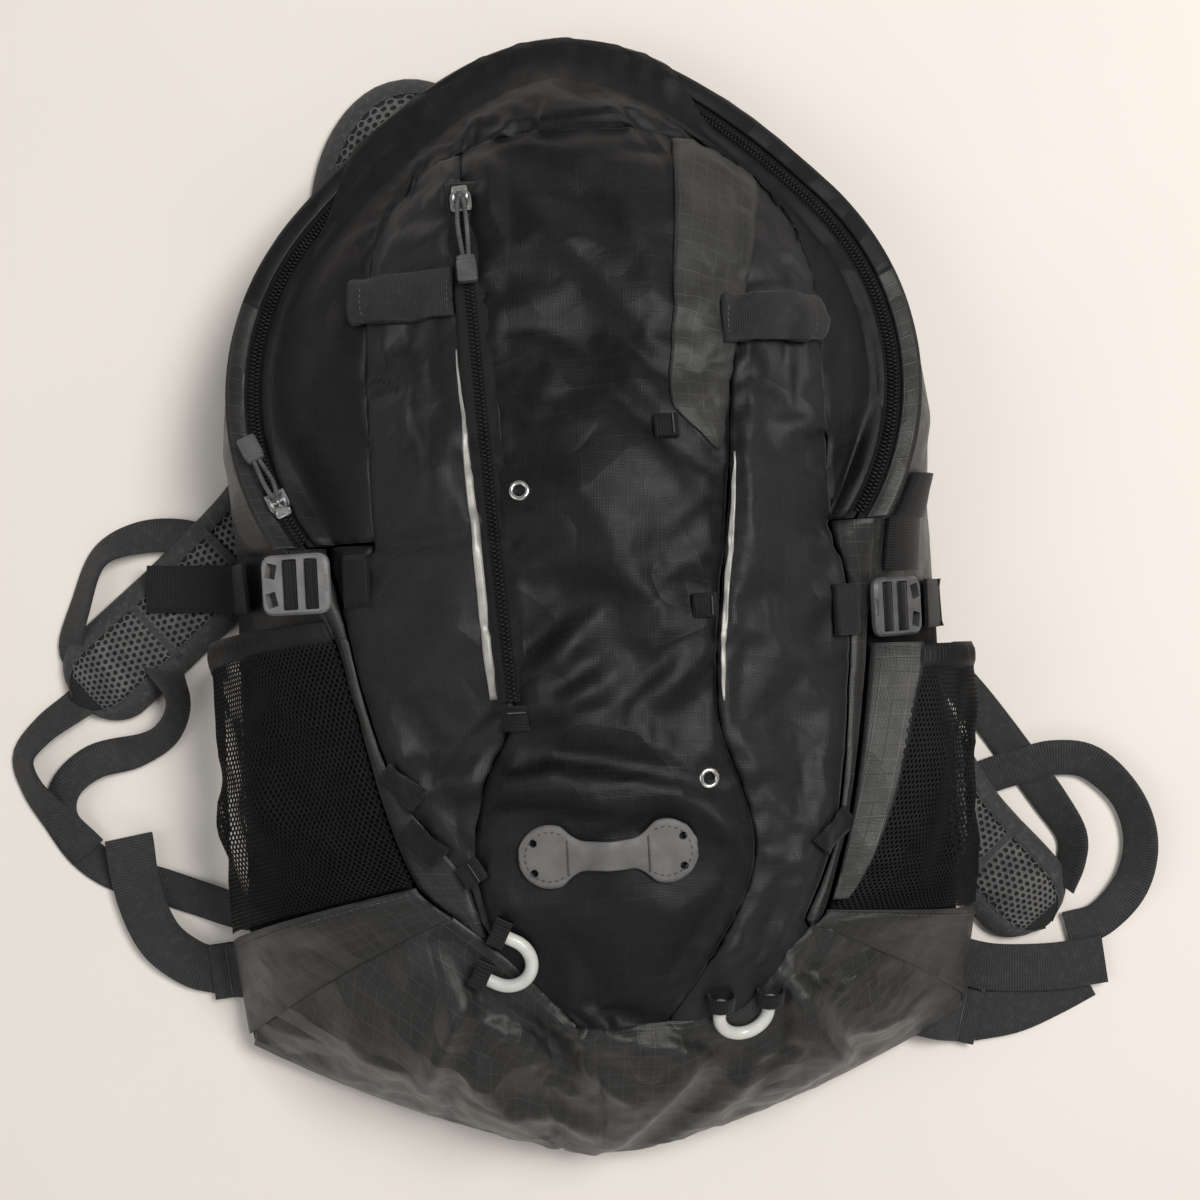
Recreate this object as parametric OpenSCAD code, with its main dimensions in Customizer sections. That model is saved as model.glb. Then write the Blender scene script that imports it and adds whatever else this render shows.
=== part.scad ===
// Hydration day pack, lying on its back panel as it is photographed.
// Millimetres. +X is the pack's right, +Y its top, +Z comes out of its front.

/* [Body] */
// Width across the widest body seam
body_w = 292; // [260:1:330]
// Length from the bottom point to the top seam
body_l = 462; // [420:1:520]
// Depth of the packed bag from the back seam to the crest
body_d = 101; // [85:1:120]
// Thickness of a cloth panel
cloth_t = 1.2; // [0.8:0.1:1.6]
// Gap left between neighbouring panels along a seam
seam_gap = 0.3; // [0.2:0.05:0.5]

/* [Back] */
// Width of the foam back pad
back_pad_w = 150; // [120:1:160]
// Length of the foam back pad
back_pad_l = 330; // [280:1:340]
// Thickness of the foam back pad
back_pad_t = 11.7; // [11:0.1:16]
// Width of each air channel in the back pad
channel_w = 14; // [8:1:20]
// Depth of each air channel in the back pad
channel_d = 5; // [2:0.5:8]
// Bore of the drink hose port
port_bore = 14; // [10:0.5:16]

/* [Zips] */
// Width of one zip tape from the chain to its edge
tape_w = 8; // [6:0.5:9]
// Gap between the two halves of the main chain
chain_gap = 0.6; // [0.4:0.1:1]
// Width of one half of a coil chain
coil_w = 2; // [1.6:0.1:2.4]
// Height of a coil above its tape
coil_h = 1.2; // [0.8:0.1:1.6]
// Travel of the front pocket's slider along its zip
pocket_travel = 86; // [40:1:88]
// Length of the front pocket's zip pull
pocket_pull_l = 38; // [26:1:40]
// Length of the main zip's pull
main_pull_l = 30; // [20:1:36]
// Clearance between a slider and its chain
slider_gap = 0.4; // [0.3:0.05:0.6]

/* [Straps] */
// Width of a shoulder pad
pad_w = 42; // [36:1:46]
// Thickness of a shoulder pad
pad_t = 11.2; // [8:0.2:11.2]
// Width of the compression and waist webbing
webbing_w = 20; // [16:1:22]
// Width of the shoulder webbing
narrow_w = 15; // [12:1:16]
// Thickness of all webbing
webbing_t = 1.5; // [1.2:0.1:2]
// Length of a compression buckle
buckle_l = 29; // [26:1:32]
// Thickness of a compression buckle
buckle_t = 4; // [3.4:0.2:5]

/* [Side pockets] */
// How far a net pocket stands out from the side wall at its middle
pocket_depth = 26; // [18:1:32]
// Gaps along each side of a net pocket
net_gaps = 9; // [5:1:12]
// Share of the net's pitch that is strand
strand_share = 0.26; // [0.2:0.02:0.4]

/* [Small parts] */
// Length of a tool tab
tab_l = 42; // [34:1:44]
// Width of a tool tab
tab_w = 19; // [14:1:22]
// Thickness of a tool tab
tab_t = 1.8; // [1.4:0.1:2.4]
// Outer diameter of an eyelet
eyelet_d = 8; // [7:0.2:10]
// Bore of an eyelet
eyelet_bore = 4.4; // [3.6:0.2:5]
// Length of the light patch
patch_l = 70; // [56:1:80]
// Radius of the light patch's round ends
patch_r = 12.5; // [10:0.5:14]
// Height of the light patch's neck
patch_neck = 11; // [8:0.5:14]
// Inner radius of a tool loop
loop_r = 7.4; // [6:0.2:9]
// Radius of the tool loop's tube
tube_r = 2.5; // [2:0.1:3]
// Width of a gear loop
gear_w = 9; // [7:0.5:11]

/* [Reservoir] */
// Width of the water bladder
bladder_w = 170; // [140:1:184]
// Length of the water bladder
bladder_l = 276; // [220:1:290]
// Thickness of the filled bladder
bladder_t = 22; // [14:1:24]
// Diameter of the fill cap
cap_d = 50; // [40:1:56]

/* [Hidden] */

$fn = 48;
// Scale of the measured plan and depth against the sizes above
kx = body_w / 292;
ky = body_l / 462;
kz = body_d / 101;
// Level of the back seam, and the same level in the measured shape
seam_z = back_pad_t + 2.3;
seam_m = 14;
// Measured shape: body half width, fold line, and zip path with its side arc
half_w = 146;
top_y = 230;
wide_y = 40;
bottom_y = -232;
corner_y = -180;
corner_w = 150;
fold_y = 26;
fold_gap = 0.5;
apex_y = 224;
apex_z = 23;
arc_c = 15.4;
arc_r = 111.6;
arc_y = 88.3;
arc_end = 40;
section_p = 2.5;
// Zip plane: it meets the front at the fold and drops to the apex
edge_x = arc_c + sqrt(pow(arc_r - tape_w, 2) - pow((fold_y - arc_y) / cos(15), 2));
crown = depth(fold_y) * pow(edge_x / half(fold_y), section_p);
fold_z = seam_m + depth(fold_y) - crown;
slope = (fold_z - apex_z) / (apex_y - fold_y);
tilt = atan(slope);
v_fold = (fold_y - arc_y) / cos(tilt);
v_apex = (apex_y - arc_y) / cos(tilt);
// Arch seam of the front panel
arch_x = 9;
arch_half = 88;
arch_top = 183;
arch_spring = 100;
// Front pocket zip: its line, and the stretch that the slider uses
zip_top = [-40, 164];
zip_low = [-28, -36];
slide_y = 158;
slide_end = 64;
// Lowest clearance of what lies on the floor
floor_gap = 0.4;

function lerp(a, b, t) = a + (b - a) * t;
function unit(p) = p / norm(p);
function bezier(a, b, c, t) = a * (1 - t) * (1 - t) + b * 2 * t * (1 - t) + c * t * t;
function place(p) = [p[0] * kx, p[1] * ky, seam_z + (p[2] - seam_m) * kz];
// A point moved toward the pack's inside, or outward where t is negative
function inset(p, t) =
  let (q = [0, max(-150 * ky, min(150 * ky, p[1])), seam_z + 20 * kz])
  p + unit(q - p) * t;

// Outline half width and crest depth along the pack
function half(y) =
  y >= wide_y ? half_w * sqrt(max(0, 1 - pow((y - wide_y) / (top_y - wide_y), 2)))
  : y >= corner_y ? half_w + (corner_w - half_w) * (wide_y - y) / (wide_y - corner_y)
  : corner_w * pow(max(0, (y - bottom_y) / (corner_y - bottom_y)), 0.625);
function depth(y) = lookup(y, [[-232, 0], [-220, 16], [-205, 35], [-185, 56], [-160, 76], [-130, 90],
  [-90, 98], [-40, 101], [26, 101]]);
// Lower front surface
function low(x, y) = seam_m + depth(y) * (1 - pow(min(1, abs(x) / max(1, half(y))), section_p));

// Zip path in its plane, with an offset outward from the chain
function in_plane(y) = (y - arc_y) / cos(tilt);
function plane_z(y) = fold_z - slope * (y - fold_y);
function zip_u(v, off) =
  let (r = arc_r + off, pu = arc_c + r * cos(arc_end), pv = r * sin(arc_end), va = v_apex + off)
  v <= pv ? arc_c + sqrt(r * r - v * v)
  : let (s = sqrt(max(0, (va - v) / (va - pv))), u = pu - (va - pv) * tan(arc_end))
    pu * s * s + 2 * u * s * (1 - s);
function zip_pt(a, off, w) =
  let (va = v_apex + off, v = va - (va - v_fold) * a * a, u = sign(a) * zip_u(v, off))
  [u, arc_y + v * cos(tilt) + w * sin(tilt), plane_z(arc_y) - v * sin(tilt) + w * cos(tilt)];
// Upper front surface, a dome on the zip plane
function dome(y) = crown * sqrt(max(0, 1 - pow(max(0, (y - 140) / 76), 2)));
function top(x, y) =
  plane_z(y) + dome(y) * (1 - pow(min(1, abs(x) / max(1, zip_u(in_plane(y), -tape_w))), section_p));
function front(x, y) = y > fold_y ? top(x, y) : low(x, y);
function on(x, y) = [x, y, front(x, y)];

// Seams of the front panels
function arch_pt(a, off) =
  let (ya = arch_top + off, y = ya - (ya - fold_y) * a * a)
  [arch_side(y, sign(a), off), y];
function arch_side(y, s, off) =
  arch_x + s * (arch_half + off)
  * (y <= arch_spring ? 1 : sqrt(max(0, 1 - pow((y - arch_spring) / (arch_top + off - arch_spring), 2))));
function arch_over(x) =
  arch_spring + (arch_top - arch_spring) * sqrt(max(0, 1 - pow((x - arch_x) / arch_half, 2)));
function zip_x(y) = lerp(zip_low[0], zip_top[0], (y - zip_low[1]) / (zip_top[1] - zip_low[1]));
function seam_x(y) = 54.8 + 0.11 * (y - fold_y);
function black_left(y) = lookup(y, [[-162, -8], [-153, -18.5], [-128, -41], [-104, -49.5], [-63, -77],
  [5, -95], [26, -99]]);
function black_right(y) = lookup(y, [[-162, 44], [-134, 73.5], [-88, 94], [-21, 103], [10, 105], [26, 99]]);
function seam_left(y) = lookup(y, [[-128, -40.5], [-95, -46], [-69, -41], [-36, -28], [26, -31.7]]);
function seam_right(y) = lookup(y, [[-162, 24], [-144, 37], [-95, 60], [-40, 48], [26, 54.8]]);
// Outer edge of the grey wings, where the net pockets are sewn on
function wing_x(s, y) = s < 0
  ? -lookup(y, [[-119, 53], [-105, 69], [0, 101], [26, 115]])
  : lookup(y, [[-131, 79], [-125, 86], [-30, 109], [26, 115]]);
function wing_z(s, y) =
  low(wing_x(s, y), y) + (fold_z - low(115, fold_y)) * pow(max(0, min(1, (y + 14) / 40)), 1.5);
function wing_pt(s, y) = [wing_x(s, y), y, wing_z(s, y)];
// A section from an edge to the back seam, bowed outward at its middle
function side_pt(s, a, b, bow, u) = bezier(a, (a + b) / 2 + [s * 1.4, 0, 1.4] * bow, b, u);
// Columns always run from left to right, so that faces point outward on both sides
function columns(s, m) = [for (j = [0:m]) s < 0 ? 1 - j / m : j / m];
// Net pocket surface: v is 0 at the mouth, 1 under the net and 1.4 at the base seam
function pocket_pt(s, u, v) =
  let (yf = s < 0 ? lookup(v, [[-0.1, -1.5], [0, -9.5], [1, -105], [1.4, -117]])
         : lookup(v, [[-0.1, -23], [0, -31.5], [1, -124], [1.4, -129.5]]),
       yb = lookup(v, [[-0.1, s < 0 ? -2 : -17], [0, s < 0 ? -12 : -27], [1, -135], [1.4, -175]]),
       bow = lookup(v, [[-0.1, 0.95], [0.5, 1], [1, 0.85], [1.4, 0.28]]) * pocket_depth,
       out = lookup(v, [[1, 7], [1.4, 1.6]]),
       a = wing_pt(s, yf) + [s * 0.6, 0, 2],
       b = [s * (half(yb) + out), yb, seam_m + 2])
  side_pt(s, a, b, bow, u);

// Closed shell between two liftings of a grid of points
function shell_faces(n, m) =
  let (k = (n + 1) * (m + 1), w = m + 1)
  concat(
    [for (i = [0:n - 1]) for (j = [0:m - 1]) each
      let (a = i * w + j, b = a + w)
      [[a, b, b + 1], [a, b + 1, a + 1], [k + a, k + b + 1, k + b], [k + a, k + a + 1, k + b + 1]]],
    [for (j = [0:m - 1]) each
      let (a = j, b = n * w + j)
      [[a, a + 1, k + a + 1], [a, k + a + 1, k + a], [b + 1, b, k + b], [b + 1, k + b, k + b + 1]]],
    [for (i = [0:n - 1]) each
      let (a = i * w, b = a + m)
      [[a + w, a, k + a], [a + w, k + a, k + a + w], [b, b + w, k + b + w], [b, k + b + w, k + b]]]);
module shell(grid, lift = -cloth_t, t = cloth_t) {
  flat = [for (row = grid) for (p = row) place(p)];
  polyhedron(
    points = concat([for (p = flat) inset(p, -lift - t)], [for (p = flat) inset(p, -lift)]),
    faces = shell_faces(len(grid) - 1, len(grid[0]) - 1));
}
// Panel between a left and a right edge function's values, row by row upward
function panel(rows, m) =
  [for (r = rows) [for (j = [0:m]) on(lerp(r[0], r[1], j / m), r[2])]];
function steps(from, to, n) = [for (i = [0:n]) lerp(from, to, i / n)];

// Closed tube of rings, each ring clockwise seen along the path
module sweep(rings) {
  k = len(rings[0]);
  n = len(rings);
  polyhedron(
    points = [for (r = rings) each r],
    faces = concat(
      [for (i = [0:n - 2]) for (j = [0:k - 1]) each
        let (a = i * k + j, b = i * k + (j + 1) % k)
        [[a, a + k, b + k], [a, b + k, b]]],
      [for (j = [1:k - 2]) [0, j, j + 1]],
      [for (j = [1:k - 2]) [(n - 1) * k, (n - 1) * k + j + 1, (n - 1) * k + j]]));
}
function spline(p, i, t) =
  let (a = p[max(0, i - 1)], b = p[i], c = p[i + 1], d = p[min(len(p) - 1, i + 2)])
  (b * 2 + (c - a) * t + (a * 2 - b * 5 + c * 4 - d) * t * t + (b * 3 - a - c * 3 + d) * t * t * t) / 2;
function curve(p, n) =
  concat([for (i = [0:len(p) - 2]) for (j = [0:n - 1]) spline(p, i, j / n)], [p[len(p) - 1]]);
function heading(p, i) = let (d = p[min(len(p) - 1, i + 1)] - p[max(0, i - 1)]) unit([d[0], d[1], 0]);
// Webbing laid flat along a route of x, y and height above the floor
module ribbon(route, w) {
  path = curve(route, 3);
  sweep([for (i = [0:len(path) - 1])
    let (d = heading(path, i), n = [-d[1], d[0], 0] * w / 2, p = path[i], up = [0, 0, webbing_t])
    [p + n, p + n + up, p - n + up, p - n]]);
}
// Foot frame on the front: local Z along the surface normal
module sit(x, y, lift = 0) {
  s = 0.5;
  sx = (front(x + s, y) - front(x - s, y)) / (2 * s) * kz / kx;
  sy = (front(x, y + s) - front(x, y - s)) / (2 * s) * kz / ky;
  translate(place(on(x, y)))
    rotate([atan2(sy, sqrt(1 + sx * sx)), -atan(sx), 0])
      translate([0, 0, lift])
        children();
}

// Plan outline of the body at the back seam
function outline() = concat(
  [for (t = [0:6:180]) [half_w * cos(t) * kx, (wide_y + (top_y - wide_y) * sin(t)) * ky]],
  [for (i = [-10:10])
    let (u = i / 10)
    [corner_w * u * kx, (bottom_y + (corner_y - bottom_y) * pow(abs(u), 1.6)) * ky]]);
function rounded(w, l, r) = [for (q = [0:3]) for (t = [0:15:90])
  let (a = q * 90 + t, c = [[1, 1], [-1, 1], [-1, -1], [1, -1]][q])
  [c[0] * (w / 2 - r) + r * cos(a), c[1] * (l / 2 - r) + r * sin(a)]];

port_y = 190;
pad_mid = -20;
module back_panel() {
  color("dimgray")
    difference() {
      translate([0, 0, back_pad_t + 0.3])
        linear_extrude(height = 1.7)
          polygon(outline());
      translate([0, port_y * ky, 0])
        cylinder(r = port_bore / 2 + 2.3, h = 40);
    }
}
module back_pad() {
  color("gray")
    difference() {
      translate([0, pad_mid, 0])
        linear_extrude(height = back_pad_t)
          polygon(rounded(back_pad_w, back_pad_l, 24));
      for (s = [-1, 1])
        translate([s * back_pad_w / 4 - channel_w / 2, pad_mid - back_pad_l, -1])
          cube([channel_w, back_pad_l * 2, channel_d + 1]);
    }
}

// Water system inside the bag
bladder_y = -15;
bladder_z = seam_z + bladder_t / 2 + 0.3;
sleeve_w = bladder_w + 28;
sleeve_top = bladder_z + bladder_t / 2 + 6;
sleeve_y = [-172, 54];
cap_y = 82;
collar_top = bladder_z + bladder_t / 2 + 9;
module hydration_sleeve() {
  color("dimgray")
    difference() {
      translate([-sleeve_w / 2, sleeve_y[0] * ky, seam_z])
        cube([sleeve_w, (sleeve_y[1] - sleeve_y[0]) * ky, sleeve_top - seam_z]);
      translate([-sleeve_w / 2 + 1.5, sleeve_y[0] * ky + 1.5, seam_z - 1])
        cube([sleeve_w - 3, (sleeve_y[1] - sleeve_y[0]) * ky, sleeve_top - seam_z - 0.5]);
    }
}
function bladder_ring(t) =
  let (y = bladder_y + bladder_l * (t - 0.5), e = sqrt(1 - pow(2 * t - 1, 2) * 0.97),
       w = bladder_w / 2 * (0.55 + 0.45 * pow(e, 0.5)), h = bladder_t / 2 * e)
  [for (a = [0:24:336]) [-w * cos(a), y * ky, bladder_z + h * sin(a)]];
module reservoir() {
  color("lightsteelblue")
    union() {
      sweep([for (i = [0:12]) bladder_ring((1 - cos(i * 15)) / 2)]);
      translate([0, cap_y * ky, bladder_z])
        cylinder(d = cap_d - 8, h = collar_top - bladder_z);
    }
}
module reservoir_cap() {
  color("steelblue")
    translate([0, cap_y * ky, collar_top - 7])
      difference() {
        cylinder(d = cap_d, h = 10);
        translate([0, 0, -1])
          cylinder(d = cap_d - 8 + 0.8, h = 8.4);
        for (a = [0:30:330])
          rotate(a)
            translate([cap_d / 2 + 1, 0, -1])
              cylinder(r = 2, h = 12);
      }
}
module reservoir_outlet() {
  color("steelblue")
    translate([0, (bladder_y - bladder_l / 2) * ky - 0.4, bladder_z])
      rotate([90, 0, 0])
        rotate_extrude()
          polygon([[2, 0], [7, 0], [7, 3], [4, 3], [4, 10], [2, 10]]);
}
hanger_y = 172;
module reservoir_hanger() {
  far = hanger_y * ky;
  near = (bladder_y + bladder_l / 2) * ky + 0.5;
  color("black")
    translate([-webbing_w / 2, 0, 0])
      rotate([90, 0, 90])
        linear_extrude(height = webbing_w)
          polygon([[far, seam_z], [far, bladder_z + webbing_t], [near, bladder_z + webbing_t],
            [near, bladder_z], [far - webbing_t, bladder_z], [far - webbing_t, seam_z]]);
}
module hose_port() {
  r = port_bore / 2;
  rim = r + 5;
  neck = r + 2;
  color("black")
    translate([0, port_y * ky, back_pad_t - 1.4])
      rotate_extrude()
        polygon([[r, 0], [rim, 0], [rim, 1.4], [neck, 1.4], [neck, 4.2], [rim, 4.2], [rim, 5.6], [r, 5.6]]);
}
haul_y = 216;
module haul_loop() {
  y = haul_y * ky;
  root_z = back_pad_t - webbing_t;
  color("dimgray")
    ribbon([[-24, y, root_z], [-23, y - 16, 3], [-14, y - 34, 1], [0, y - 39, 1], [14, y - 34, 1],
      [23, y - 16, 3], [24, y, root_z]], 10);
}

// Cloth shell of the body: beside the zip its edge stays clear of the tape
zip_hem = tape_w + seam_gap + cloth_t;
gusset_y = 122;
gusset_a = sqrt((apex_y - gusset_y) / (apex_y - fold_y));
function gusset_row(a, m) =
  let (e = zip_pt(a, zip_hem, 0), y = top_y - (top_y - fold_y) * a * a,
       b = [sign(a) * half(y), y, seam_m])
  [for (j = [0:m]) side_pt(a < 0 ? -1 : 1, b, e, 5 * min(1, abs(a) * 1.4), j / m)];
module top_gusset() {
  color("black")
    shell([for (i = [0:24]) gusset_row(lerp(-gusset_a, gusset_a, i / 24), 3)]);
}
side_low = -10;
function side_row(s, edge, y) =
  [for (u = columns(s, 4)) side_pt(s, edge, [s * half(y), y, seam_m], 5, u)];
module side_panel(s) {
  below = [for (y = steps(side_low, fold_y - 1, 4)) side_row(s, wing_pt(s, y), y)];
  above = [for (a = steps(1, gusset_a + 0.003, 8))
    side_row(s, zip_pt(s * a, zip_hem, 0), top_y - (top_y - fold_y) * a * a)];
  color("gray")
    shell(concat(below, above));
}
module side_panel_left() {
  side_panel(-1);
}
module side_panel_right() {
  side_panel(1);
}
module side_wall(s) {
  color("black")
    shell([for (t = steps(1, 0, 10))
      let (a = wing_pt(s, lerp(side_low - 0.5, s < 0 ? -117.5 : -129.5, t)),
           y = lerp(side_low - 0.5, corner_y + 4, t), b = [s * half(y), y, seam_m],
           bow = lookup(t, [[0, 5], [0.3, -1.5], [0.75, -1.5], [1, 4]]))
      [for (u = columns(s, 4)) side_pt(s, a, b, bow, lerp(0.025, 1, u))]]);
}
module side_wall_left() {
  side_wall(-1);
}
module side_wall_right() {
  side_wall(1);
}
// Rows shared by the panels of the lower front, so that their seams stay parallel
row_top = fold_y - fold_gap;
row_low = -162;
function rows(from) = [for (y = steps(row_low, row_top, 15)) if (y >= from) y];
module wing_left() {
  color("gray")
    shell([for (y = concat([-118], rows(-113)))
      [for (t = [0:0.5:1])
        let (a = wing_pt(-1, y), b = on(black_left(y) - seam_gap, y))
        a + (b - a) * t]]);
}
module wing_right() {
  color("gray")
    shell([for (y = concat([-130], rows(-126)))
      [for (t = [0:0.5:1])
        let (a = wing_pt(1, y), b = on(black_right(y) + seam_gap, y))
        b + (a - b) * t]]);
}
module front_lower_left() {
  color("black")
    shell(panel([for (y = rows(-126))
      [black_left(y), seam_left(y) - seam_gap, y]], 3));
}
module front_lower_center() {
  color("black")
    difference() {
      shell(panel([for (y = rows(row_low))
        [y < -126 ? black_left(y) : seam_left(y), seam_right(y) - seam_gap, y]], 8));
      eyelet_hole(eyelet_at[1]);
    }
}
module front_lower_right() {
  color("black")
    shell(panel([for (y = rows(row_low)) [seam_right(y), black_right(y), y]], 4));
}
// Base: from the front's lower edge down to the V of the back seam
function base_edge(u) = [
  lookup(u, [[-1, -52.5], [-0.8, -40.5], [-0.45, -18], [-0.15, -8], [0.3, 44], [0.8, 74], [1, 79]]),
  lookup(u, [[-1, -119.5], [-0.8, -129.5], [-0.45, -154], [-0.15, -163], [0.3, -163], [0.8, -135],
    [1, -131.5]])];
module base_panel() {
  color("gray")
    shell([for (i = [0:8]) [for (j = [0:16])
      let (u = j / 8 - 1, e = base_edge(u), y = bottom_y + (corner_y - bottom_y) * pow(abs(u), 1.6),
           p = lerp([corner_w * u, y], e, i / 8))
      [p[0], p[1], low(p[0], p[1])]]]);
}

// Upper front, which opens as a flap about the fold
flap_a = sqrt(1 - fold_gap / (apex_y - fold_y));
module front_band() {
  color("black")
    shell([for (i = [0:36])
      let (a = lerp(-flap_a, flap_a, i / 36), e = zip_pt(a, -tape_w - seam_gap, 0), q = arch_pt(a, seam_gap))
      [for (j = [0:3])
        let (x = lerp(e[0], q[0], j / 3), y = lerp(e[1], q[1], j / 3))
        j == 0 ? e : on(x, y)]]);
}
module front_upper_left() {
  color("black")
    shell(panel([for (y = steps(fold_y + fold_gap, 166, 10))
      [arch_side(y, -1, -seam_gap), zip_x(y) - seam_gap, y]], 3));
}
module front_upper_center() {
  x_low = [zip_x(fold_y), seam_x(fold_y) - seam_gap];
  x_top = [zip_x(168), seam_x(160) - seam_gap];
  color("black")
    difference() {
      shell([for (i = [0:10]) [for (j = [0:8])
        let (a = lerp(x_low[0], x_low[1], j / 8), b = lerp(x_top[0], x_top[1], j / 8))
        on(lerp(a, b, i / 10), lerp(fold_y + fold_gap, arch_over(b) - seam_gap, i / 10))]]);
      eyelet_hole(eyelet_at[0]);
    }
}
module front_upper_right() {
  color("black")
    shell(panel([for (y = steps(fold_y + fold_gap, 157, 10))
      [seam_x(y), arch_side(y, 1, -seam_gap), y]], 3));
}
patch_lift = 1.3;
module accent_patch() {
  edges = [[53, 54, 53.5], [41, 57, 66], [35.5, 61, 87], [36, 68, 120], [40, 76, 152], [44, 60, 170]];
  color("gray")
    shell(panel([for (i = [0:len(edges) - 2]) for (t = [0, 0.5])
      [lerp(edges[i][0], edges[i + 1][0], t), lerp(edges[i][1], edges[i + 1][1], t),
       lerp(edges[i][2], edges[i + 1][2], t)]], 3), patch_lift, 0.8);
}

// Main zip: one half of the chain on each side
tape_low = -1.2;
tape_top = -0.2;
function zip_ring(a, s) =
  let (g = chain_gap / 2, c = g + coil_w, h = coil_h + tape_top,
       ring = [[g, tape_low], [g, h], [c, h], [c + 0.2, tape_top], [tape_w, tape_top], [tape_w, tape_low]])
  [for (i = [0:5])
    let (q = ring[s < 0 ? 5 - i : i])
    place(zip_pt(a, -s * q[0], q[1]))];
module main_zip_outer() {
  color("dimgray")
    sweep([for (i = [0:48]) zip_ring(lerp(-1, 1, i / 48), -1)]);
}
module main_zip_inner() {
  color("dimgray")
    sweep([for (i = [0:48]) zip_ring(lerp(-flap_a, flap_a, i / 48), 1)]);
}
// Slider frame on the left arc, from the chain's own line: local X outward, Y down the zip, Z off the plane
slider_angle = 25;
function arc_pt(a, w) =
  let (v = -arc_r * sin(a))
  place([-arc_c - arc_r * cos(a), arc_y + v * cos(tilt) + w * sin(tilt),
    plane_z(arc_y) - v * sin(tilt) + w * cos(tilt)]);
module on_arc() {
  run = arc_pt(slider_angle + 0.5, 0) - arc_pt(slider_angle - 0.5, 0);
  lean = atan2(run[2], -run[1]);
  translate(arc_pt(slider_angle, coil_h + tape_top))
    rotate([-lean, 0, 0])
      rotate(atan2(-run[0], run[1] / cos(lean)))
        translate([0, 0, slider_gap])
          children();
}
pin_r = 0.8;
bridge_z = 4.2;
module slider_body(w, l) {
  translate([-w / 2, -l / 2, 0])
    cube([w, l, 1.4]);
  for (s = [-1, 1])
    translate([s * (w / 2 - 0.7) - 0.7, -l / 2, 0])
      cube([1.4, l, 1.8]);
  for (s = [-1, 1])
    translate([s * 2.6 - 0.6, -3, 1.2])
      cube([1.2, 6, bridge_z - 0.6]);
  translate([-3.2, 0, bridge_z])
    rotate([0, 90, 0])
      cylinder(r = pin_r, h = 6.4, $fn = 24);
}
// Pull: an eye on the slider's pin, a doubled cord and a moulded grip, laid along local +Y
module pull_body(l) {
  grip = 11;
  rotate([0, 90, 0])
    translate([0, 0, -1.7])
      difference() {
        cylinder(r = 1.9, h = 3.4, $fn = 24);
        translate([0, 0, -1])
          cylinder(r = pin_r + 0.25, h = 6, $fn = 24);
      }
  for (s = [-1, 1])
    translate([s * 1, 1.5, 0])
      rotate([-90, 0, 0])
        cylinder(r = 0.9, h = l - grip - 1, $fn = 16);
  translate([-4, l - grip, -1.8])
    cube([8, grip, 3.6]);
}
module main_zip_slider() {
  color("silver")
    on_arc()
      slider_body(8.4, 11);
}
module main_zip_pull() {
  color("darkgray")
    on_arc()
      translate([0, 0, bridge_z])
        rotate(180)
          pull_body(main_pull_l);
}

// Front pocket zip: straight where the slider runs, and on the cloth beyond that
line_a = on(zip_x(slide_y), slide_y);
line_b = on(zip_x(slide_end), slide_end);
line_lift = 3.2;
function line_z(y) = lerp(line_a[2], line_b[2], (slide_y - y) / (slide_y - slide_end)) + line_lift;
function tape_z(y) = y > slide_end - 4 ? line_z(y) : front(zip_x(y), y) + 1.8;
function pocket_row(y) =
  [for (q = [[-5, 0], [-coil_w - 0.1, 0], [-coil_w, coil_h], [coil_w, coil_h], [coil_w + 0.1, 0], [5, 0]])
    [zip_x(y) + q[0], y, tape_z(y) + q[1]]];
module pocket_tape(ys) {
  rows = [for (y = ys) pocket_row(y)];
  upper = [for (r = rows) for (p = r) place(p)];
  lower = [for (r = rows) for (p = r) place(on(p[0], p[1]) + [0, 0, 0.3])];
  polyhedron(points = concat(upper, lower), faces = shell_faces(len(rows) - 1, 5));
}
module pocket_zip_upper() {
  color("black")
    pocket_tape(concat(steps(fold_y + fold_gap, slide_end - 4, 4), steps(slide_end - 3.9, 171, 8)));
}
module pocket_zip_lower() {
  color("black")
    pocket_tape(steps(-36, fold_y - fold_gap, 6));
}
// Slider frame on the pocket zip: local Y runs up the line
line_turn = atan2((zip_low[0] - zip_top[0]) * kx, (zip_top[1] - zip_low[1]) * ky);
line_fall = atan((line_b[2] - line_a[2]) * kz / ((slide_y - slide_end) * ky));
module on_line() {
  translate(place([zip_x(slide_y), slide_y, line_z(slide_y) + coil_h]))
    rotate([0, 0, line_turn])
      rotate([-line_fall, 0, 0])
        translate([0, 0, slider_gap])
          children();
}
module pocket_zip_slider() {
  color("silver")
    on_line()
      slider_body(8.4, 11);
}
module pocket_zip_pull() {
  color("darkgray")
    on_line()
      translate([0, 0, bridge_z])
        rotate(180)
          pull_body(pocket_pull_l);
}

// Trim on the front
module strip(ax, ay, bx, by, w, n) {
  shell([for (t = steps(0, 1, n))
    [for (j = [-1, 1]) on(lerp(ax, bx, t) + j * w / 2, lerp(ay, by, t))]], 0.3, 1);
}
module piping_upper() {
  color("silver") {
    strip(zip_x(fold_y) - 7, fold_y + fold_gap, zip_x(98) - 7, 98, 2.4, 5);
    strip(seam_x(fold_y) + 2, fold_y + fold_gap, seam_x(52) + 2, 52, 2.4, 3);
  }
}
module piping_lower() {
  color("silver") {
    strip(zip_x(-34) - 7, -34, zip_x(fold_y) - 7, fold_y - fold_gap, 2.4, 5);
    strip(50, -40, 56.8, fold_y - fold_gap, 2.4, 5);
  }
}
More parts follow.
